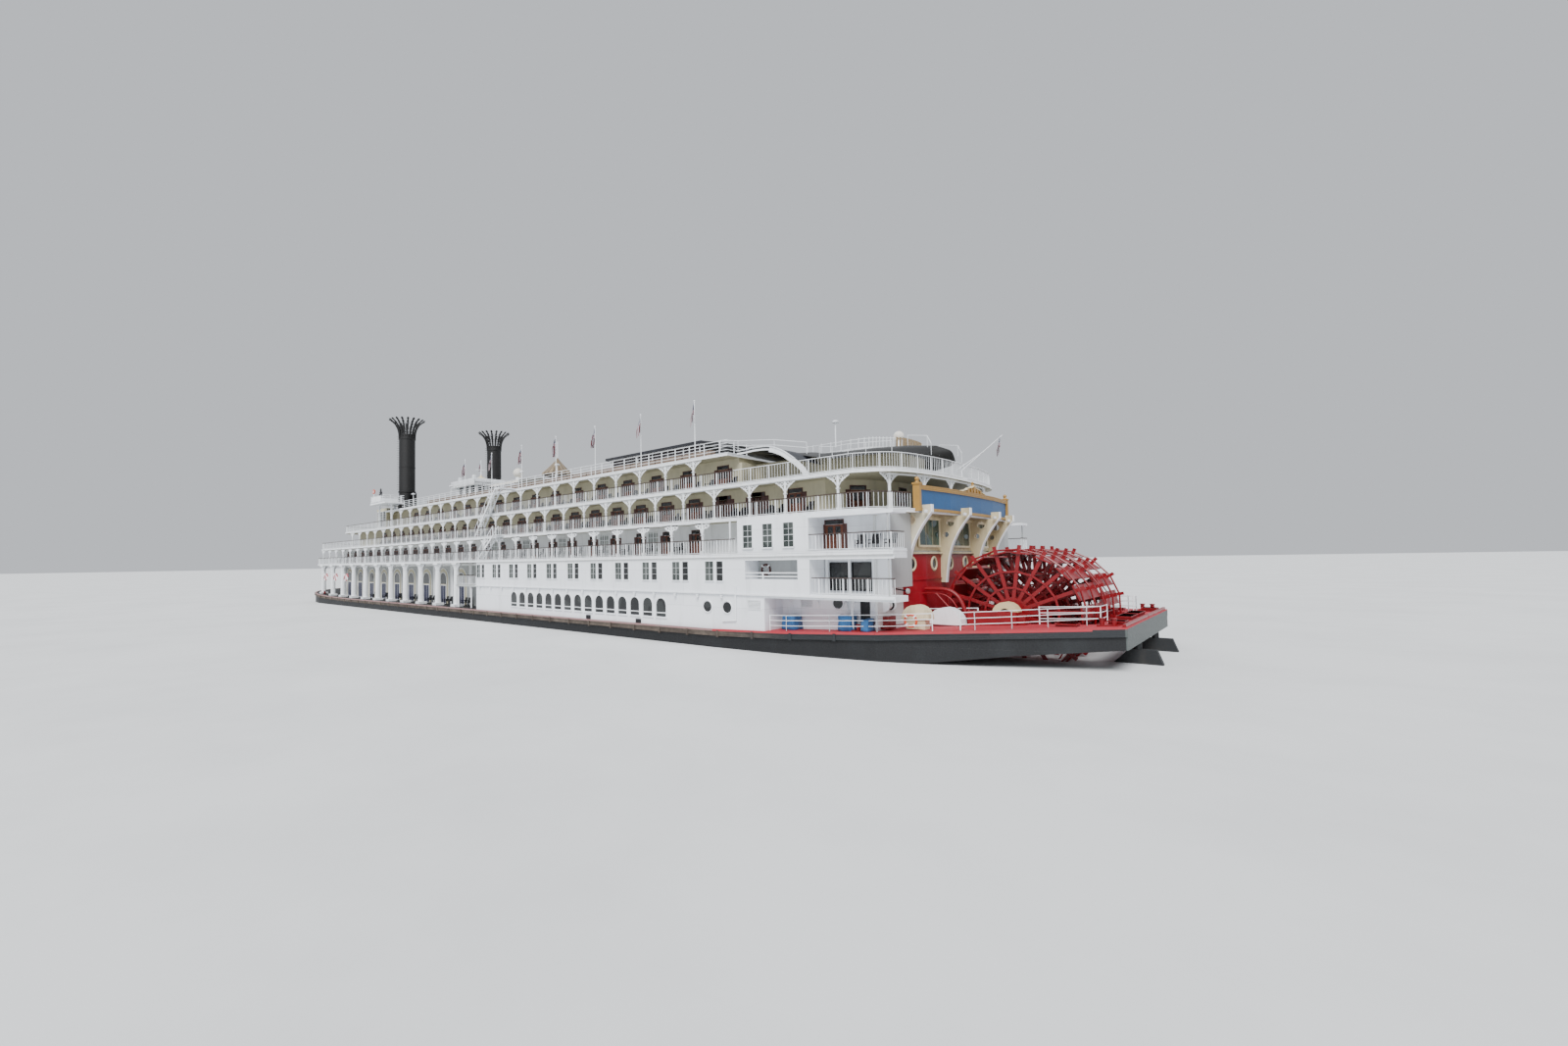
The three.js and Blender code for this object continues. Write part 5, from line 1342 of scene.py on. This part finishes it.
rails = (((26.29, 9.6, 18.7), (24.48, 9.6, 18.4), (21.02, 9.6, 17.97), (18.22, 9.6, 17.37)),
         ((18.67, 7.1, 17.43), (17.6, 7.1, 17.25), (16.32, 7.1, 17.27), (15.17, 6.6, 17.29),
          (13.78, 5.4, 17.37)), ((13.64, 3.0, 18.05), (12.19, 3.0, 17.81), (11.92, 3.0, 17.21)))
for line in rails:
    for a, b in pairwise(line):
        rod(bm, a, b, 0.022, sides=6)
        if line is rails[0]:
            rod(bm, Vector(a) - Vector((0, 0, 0.4)), Vector(b) - Vector((0, 0, 0.4)), 0.02, sides=6)
    for a in line:
        rod(bm, Vector(a) - Vector((0, 0, 0.85)), a, 0.016, sides=6)
finish(bm, "curvedBrace", mirror=True)


# Cloth
# A sheet laid on a grid: shape(u, v) gives its place, and u, v become its UV map
def clothGrid(name, shape, across, along, material, node=None):
    bm = bmesh.new()
    bmesh.ops.create_grid(bm, x_segments=across, y_segments=along, size=0.5)
    layer = bm.loops.layers.uv.new("UVMap")
    for face in bm.faces:
        face.smooth = True
        for loop in face.loops:
            loop[layer].uv = (loop.vert.co.x + 0.5, loop.vert.co.y + 0.5)
    for vert in bm.verts:
        vert.co = shape(vert.co.x + 0.5, vert.co.y + 0.5)
    tint(bm.verts, material)
    return finish(bm, name, [node] if node else (), smooth=True)[0]


# A limp flag: its hoist runs down the pole and its fly drops in folds
def limpFlag(name, top, hoist, fly, lean):
    seed = random.uniform(0, 6)
    away = Vector((math.cos(lean), math.sin(lean), 0))
    side = Vector((-math.sin(lean), math.cos(lean), 0))

    def shape(u, v):
        down, gather = 1 - v, min(1, u * 1.8)
        fall = down * hoist * (1 - 0.5 * gather) + fly * 0.95 * u ** 1.3
        out = 0.04 + 0.13 * fly * (1 - (1 - u) ** 4) * (0.6 + 0.4 * down) + gather * 0.1 * hoist * down
        swing = gather * 0.28 * hoist * math.sin(seed + 10 * down + 1.5 * u)
        return Vector(top) + away * out + side * swing - Vector((0, 0, fall))

    piece = clothGrid(name, shape, 20, 24, "signalFlag")


for k in range(7):
    limpFlag(f"flag{k + 1}", (29.1 + 6.7 * k, 9.56, 22.3), 1.0, 1.6, random.uniform(0.2, 1.4))
limpFlag("mastFlag", (82.6, 0, 24.9), 0.8, 1.25, 0.5)

bm = bmesh.new()
staffFoot, staffTop = Vector((10.9, 0, 15.36)), Vector((8.03, 0, 17.61))
rod(bm, staffFoot + Vector((0, 0, -0.52)), staffFoot, 0.06)
rod(bm, staffFoot, staffTop, 0.045, tip=0.03)
rod(bm, staffFoot + Vector((0, 0.9, -0.02)), staffFoot + (staffTop - staffFoot) * 0.55, 0.02, sides=6)
finish(bm, "sternStaff")
limpFlag("sternFlag", (8.15, 0, 17.5), 0.75, 1.15, 0.4)
print("flags")


# Long awning: dark canvas over a white frame, and curtains gathered between its posts, their pale cloth
# coloured dark grey-brown with painted shade under the awning
bm = bmesh.new()
for x in (32.6, 34.7, 36.8, 39.0, 41.2, 43.3, 45.4):
    for y in (-5.0, 5.0):
        pole(bm, x, y, sunFloor, 19.9, 0.06)
    beam(bm, (x, -5.0, 19.85), (x, 5.0, 19.85), 0.06, 0.08)
for y in (-5.0, 0, 5.0):
    beam(bm, (32.3, y, 19.88), (45.7, y, 19.88), 0.06, 0.08)
for y in (-5.4, 5.4):
    beam(bm, (32.1, y, 19.98), (45.9, y, 19.98), 0.06, 0.24, "navyCanvas")
for x in (32.1, 45.9):
    beam(bm, (x, -5.4, 19.98), (x, 5.4, 19.98), 0.06, 0.24, "navyCanvas")
finish(bm, "awningFrame")


def awningTop(u, v):
    x, y = 32.1 + 13.8 * u, -5.4 + 10.8 * v
    sag = 0.05 * abs(math.sin(math.pi * u * 6))
    return Vector((x, y, 20.42 - 0.055 * abs(y) - sag * (1 - abs(y) / 5.4) - 0.03))


awning = clothGrid("awningCanvas", awningTop, 36, 12, "navyCanvas", "long_awning")
for way, side in ((1, "Port"), (-1, "Starboard")):
    def curtain(u, v, way=way):
        fold = 0.07 * math.sin(2 * math.pi * u * 40) * (1 - 0.3 * v)
        return Vector((32.7 + 12.6 * u, way * (4.85 + fold), 17.75 + 2.1 * v))
    piece = clothGrid("awningCurtain" + side, curtain, 240, 4, "greyCurtain")


# Eight-sided tent roof of two cloths, pulled up to its pole, with a valance
bm = bmesh.new()
for deg in (45, 135, 225, 315):
    a = math.radians(deg)
    pole(bm, 62.3 + 1.8 * math.cos(a), 1.8 * math.sin(a), sunFloor, 20.6, 0.08)
pole(bm, 62.3, 0, 22.6, 25.1, 0.06, tip=0.04)
finish(bm, "tentPosts")


def tentShape(u, v):
    angle = 2 * math.pi * u
    sector = (angle + math.pi / 8) % (math.pi / 4) - math.pi / 8
    rim = 2.15 * math.cos(math.pi / 8) / math.cos(sector)
    if v < 0.1:
        return Vector((62.3 + rim * math.cos(angle), rim * math.sin(angle),
                       20.55 + 2.2 * v - 0.05 * abs(math.sin(16 * angle)) * (1 - v * 10)))
    t = (v - 0.1) / 0.9
    r = rim * (1 - t) ** 1.12 + 0.06 * t
    return Vector((62.3 + r * math.cos(angle), r * math.sin(angle), 20.77 + 2.1 * t ** 1.05))


tent = clothGrid("tentCanvas", tentShape, 128, 14, "tentCanvas", "tent_roof")

# White canopy behind the pilothouse, scalloped along its edge
bm = bmesh.new()
for x in (66.7, 69.8, 72.9):
    for y in (-3.2, 3.2):
        pole(bm, x, y, sunFloor, 19.85, 0.06)
finish(bm, "canopyPosts")


def canopyShape(u, v):
    x = 66.2 + 7.2 * u
    if v < 0.06 or v > 0.94:
        edgeShare = (0.06 - v) / 0.06 if v < 0.06 else (v - 0.94) / 0.06
        scallop = 0.12 * abs(math.sin(math.pi * u * 9))
        return Vector((x, -3.6 if v < 0.5 else 3.6, 20.05 - edgeShare * (0.2 + scallop)))
    t = (v - 0.06) / 0.88
    return Vector((x, -3.6 + 7.2 * t, 20.05 + 0.6 * (1 - abs(2 * t - 1)) ** 0.8))


foreCanopy = clothGrid("foreCanopyCanvas", canopyShape, 54, 34, "whiteCanvas", "fore_canopy")


# Canopy over the stern lounge in black cloth, which also paints the shade under it: its port and starboard
# edges dip between the poles that hold it
def sternEdge(x):
    return height([(12.2, 2.5), (13.4, 4.9), (15.4, 6.4), (18.5, 7.1), (25.5, 7.1)], x)


def sternCanopy(u, v):
    x = 12.25 + 13.1 * u
    reach = sternEdge(x)
    y = reach * (2 * v - 1)
    edgeZ = height([(12.2, 16.5), (13.4, 16.5), (15.6, 16.42), (17.7, 16.38), (19.6, 16.8), (21.85, 17.4),
                    (25.5, 17.55)], x)
    crown = 17.3 if x < 20 else 17.5
    share = abs(2 * v - 1) ** 6
    return Vector((x, y, crown + (edgeZ - crown) * share))


canopy = clothGrid("sternCanopyCanvas", sternCanopy, 44, 20, "blackCanvas", "stern_canopy")

bm = bmesh.new()
screen = smoothLine([(21.5, 4.2), (17, 4.2), (15.5, 3.2), (14.6, 1.6), (14.6, -1.6), (15.5, -3.2), (17, -4.2),
                     (21.5, -4.2)], 6)
for (x0, y0), (x1, y1) in pairwise(screen):
    slatPart = max(x0, x1) < 14.95
    for z in (17.4, 18.1):
        beam(bm, (x0, y0, z), (x1, y1, z), 0.06, 0.08 if slatPart else 0.04,
             "tanSlats" if slatPart else "whiteEnamel")
    count = max(1, round(math.hypot(x1 - x0, y1 - y0) / (0.3 if slatPart else 0.9)))
    for k in range(count):
        x, y = x0 + (x1 - x0) * k / count, y0 + (y1 - y0) * k / count
        turn = math.atan2(y1 - y0, x1 - x0)
        beam(bm, (x, y, 17.25), (x - 0.04, y, 18.2), 0.17 if slatPart else 0.04, 0.05,
             "tanSlats" if slatPart else "whiteEnamel", (math.sin(turn), -math.cos(turn), 0))
plate(bm, [(x * 0.985 + 0.27, y * 0.97, 17.32) for x, y in screen], (0, 0, 0.08))
finish(bm, "slatScreen", ["slat_screen"], recalc=True)

# Pleated half-round bunting between the tall columns near the bow
for way, side in ((1, "Port"), (-1, "Starboard")):
    for k in range(3):
        def fan(u, v, x=tallXs[-3 + k] if k < 2 else tallXs[-1], way=way):
            angle = math.pi * u
            r = 0.15 + 1.1 * v
            fold = 0.06 * math.sin(angle * 14) * v
            return Vector((x - 2.5 - r * math.cos(angle), way * (12.6 + fold), 7.7 - r * math.sin(angle)))
        piece = clothGrid(f"bunting{side}{k + 1}", fan, 72, 6, "buntingCloth")
print("cloth")


# Materials of the CAD nodes that stay
kept = {
    "hull": "navyHull", "deck_edge_guard": "greyTimber", "stern_deck": "deckRed",
    "main_house": "platedEnamel",
    "main_house_aft": "platedEnamel", "fore_house": "greyWall", "house_three": "whiteEnamel",
    "house_three_aft": "platedEnamel", "house_four": "stoneEnamel", "house_five": "stoneEnamel",
    "wheel_bulkhead": "bulkheadRed", "stern_wall": "sternCream", "name_board": "bluePaint",
    "pilothouse": "whiteEnamel", "stack_base_port": "stackBlack",
    "stack_base_starboard": "stackBlack", "wheel_bearing_port": "bearingPaint",
    "wheel_bearing_starboard": "bearingPaint",
    "rudder_port": "rudderSteel", "rudder_starboard": "rudderSteel", "drum_cover_aft_port": "whiteEnamel",
    "drum_cover_aft_starboard": "whiteEnamel", "drum_cover_fore_port": "creamEnamel",
    "drum_cover_fore_starboard": "creamEnamel",
}
for node, material in kept.items():
    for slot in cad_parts[node].material_slots:
        slot.material = palette[material]


# Studio: pale floor at the waterline and soft light from above
stage = {"waterline": 0.255, "floor": "#dcdedf", "sky": "#e4e8ee", "skyStrength": 0.85, "sun": 5.0}
bm = bmesh.new()
bmesh.ops.create_grid(bm, x_segments=1, y_segments=1, size=250)
bm.transform(Matrix.Translation((0, 0, stage["waterline"])))
mesh = bpy.data.meshes.new("floor")
bm.to_mesh(mesh)
bm.free()
# Matt studio paint under the boat
mesh.materials.append(coat("matteFloor", stage["floor"], "#c6c8ca", (0.8, 0.9), 900, 1, (0.4, 0.7), 0.4, 60,
                           0.0))
floor = addObject("floor", mesh)

world = bpy.data.worlds.new("studio")
bpy.context.scene.world = world
world.use_nodes = True
world.node_tree.nodes["Background"].inputs["Color"].default_value = linear(stage["sky"])
world.node_tree.nodes["Background"].inputs["Strength"].default_value = stage["skyStrength"]
light = bpy.data.lights.new("softSun", "SUN")
light.energy, light.angle = stage["sun"], math.radians(35)
lamp = addObject("softSun", light)
lamp.rotation_euler = (math.radians(-38), math.radians(-22), 0)
print("studio")
